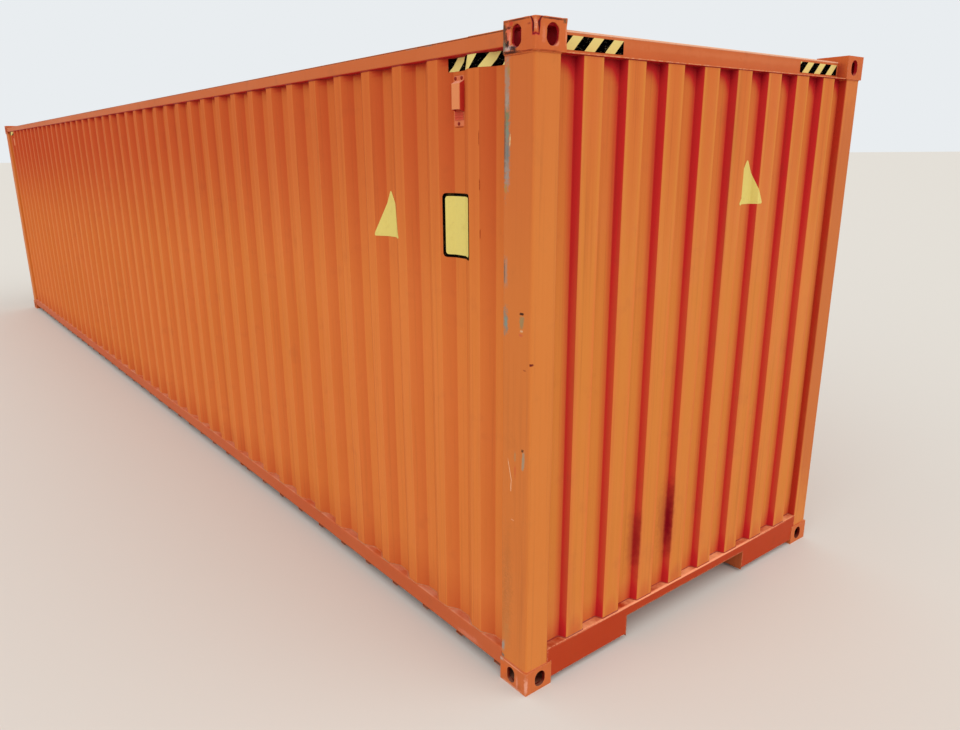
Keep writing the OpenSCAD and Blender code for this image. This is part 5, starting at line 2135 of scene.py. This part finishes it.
@dataclass
class Studio:
    """A pale floor, a pale background and soft lamps."""

    floor_code: str = "#D9D5CE"
    sky_code: str = "#E9EDF0"
    floor_half: float = 400.0
    ambient: float = 0.78
    key_from: Point = (0.72, 0.25, 0.65)
    key_power: float = 0.82
    side_from: Point = (0.25, -0.7, 0.67)
    side_power: float = 0.8
    lamp_width: float = 70.0

    def build(self) -> None:
        """Lay the floor, set the world and hang the lamps."""
        scene = bpy.context.scene
        scene.view_settings.view_transform = "Standard"
        half, z = self.floor_half, -0.0005
        mesh = bpy.data.meshes.new("studio_floor")
        corners = [(-half, -half, z), (half, -half, z), (half, half, z), (-half, half, z)]
        mesh.from_pydata(corners, [], [(0, 1, 2, 3)])
        floor = added("studio_floor", mesh)
        material = bpy.data.materials.new("studio floor")
        material.use_nodes = True
        shader = material.node_tree.nodes["Principled BSDF"]
        shader.inputs["Base Color"].default_value = colour(self.floor_code)
        shader.inputs["Roughness"].default_value = 0.9
        shader.inputs["Specular IOR Level"].default_value = 0.0
        mesh.materials.append(material)
        floor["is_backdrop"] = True
        self.world(scene)
        self.lamp("key", self.key_from, self.key_power, (1.0, 0.98, 0.95))
        self.lamp("side", self.side_from, self.side_power, (1.0, 0.99, 0.97))

    def world(self, scene: bpy.types.Scene) -> None:
        """Light the scene evenly, and show the pale sky to the camera, mirrors and glass."""
        world = bpy.data.worlds.new("studio")
        scene.world = world
        world.use_nodes = True
        world.node_tree.nodes.clear()
        wire = Wiring(world.node_tree)
        light = wire.fill("ShaderNodeBackground", Color=(1, 1, 1, 1), Strength=self.ambient)
        shown = wire.fill("ShaderNodeBackground", Color=colour(self.sky_code), Strength=1.0)
        ray = wire.node("ShaderNodeLightPath").outputs
        seen = wire.math("MAXIMUM", ray["Is Camera Ray"], ray["Is Glossy Ray"])
        seen = wire.math("MAXIMUM", seen, ray["Is Transmission Ray"])
        mix = wire.fed("ShaderNodeMixShader", (seen, light.outputs[0], shown.outputs[0]))
        wire.fed("ShaderNodeOutputWorld", (mix[0],))

    def lamp(self, name: str, source: Point, power: float, tint: Point) -> None:
        """Hang one wide, distant lamp.

        Args:
            name: Its name.
            source: The direction that its light comes from.
            power: Its strength.
            tint: Its colour.
        """
        data = bpy.data.lights.new(name, "SUN")
        data.angle = math.radians(self.lamp_width)
        data.energy = power
        data.color = tint
        lamp = added(name, data)
        tilt = math.atan2(math.hypot(source[0], source[1]), source[2])
        lamp.rotation_euler = (tilt, 0, math.atan2(source[1], source[0]) + math.pi / 2)
        lamp.location = np.multiply(source, 20)


def main() -> None:
    """Build the container and the studio, and measure the scene's bounds before and after."""
    logging.basicConfig(level=logging.INFO, format="%(message)s")
    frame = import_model()
    low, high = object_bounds()
    Camera().build()
    Studio().build()
    shop = Shop(frame["nodes"])
    half_length = (high[0] - low[0]) / 2
    walls = SideWalls(half_length), FrontWall()
    frames = Posts(), Rails(), EndFrames(), Castings()
    rest = Roof(), Underframe(), Doors(), DoorGear(), Ventilators()
    for part in (*walls, *frames, *rest):
        part.build(shop)
    log.info("faces in all: %d", shop.faces)
    low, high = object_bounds()


if __name__ == "__main__":
    main()
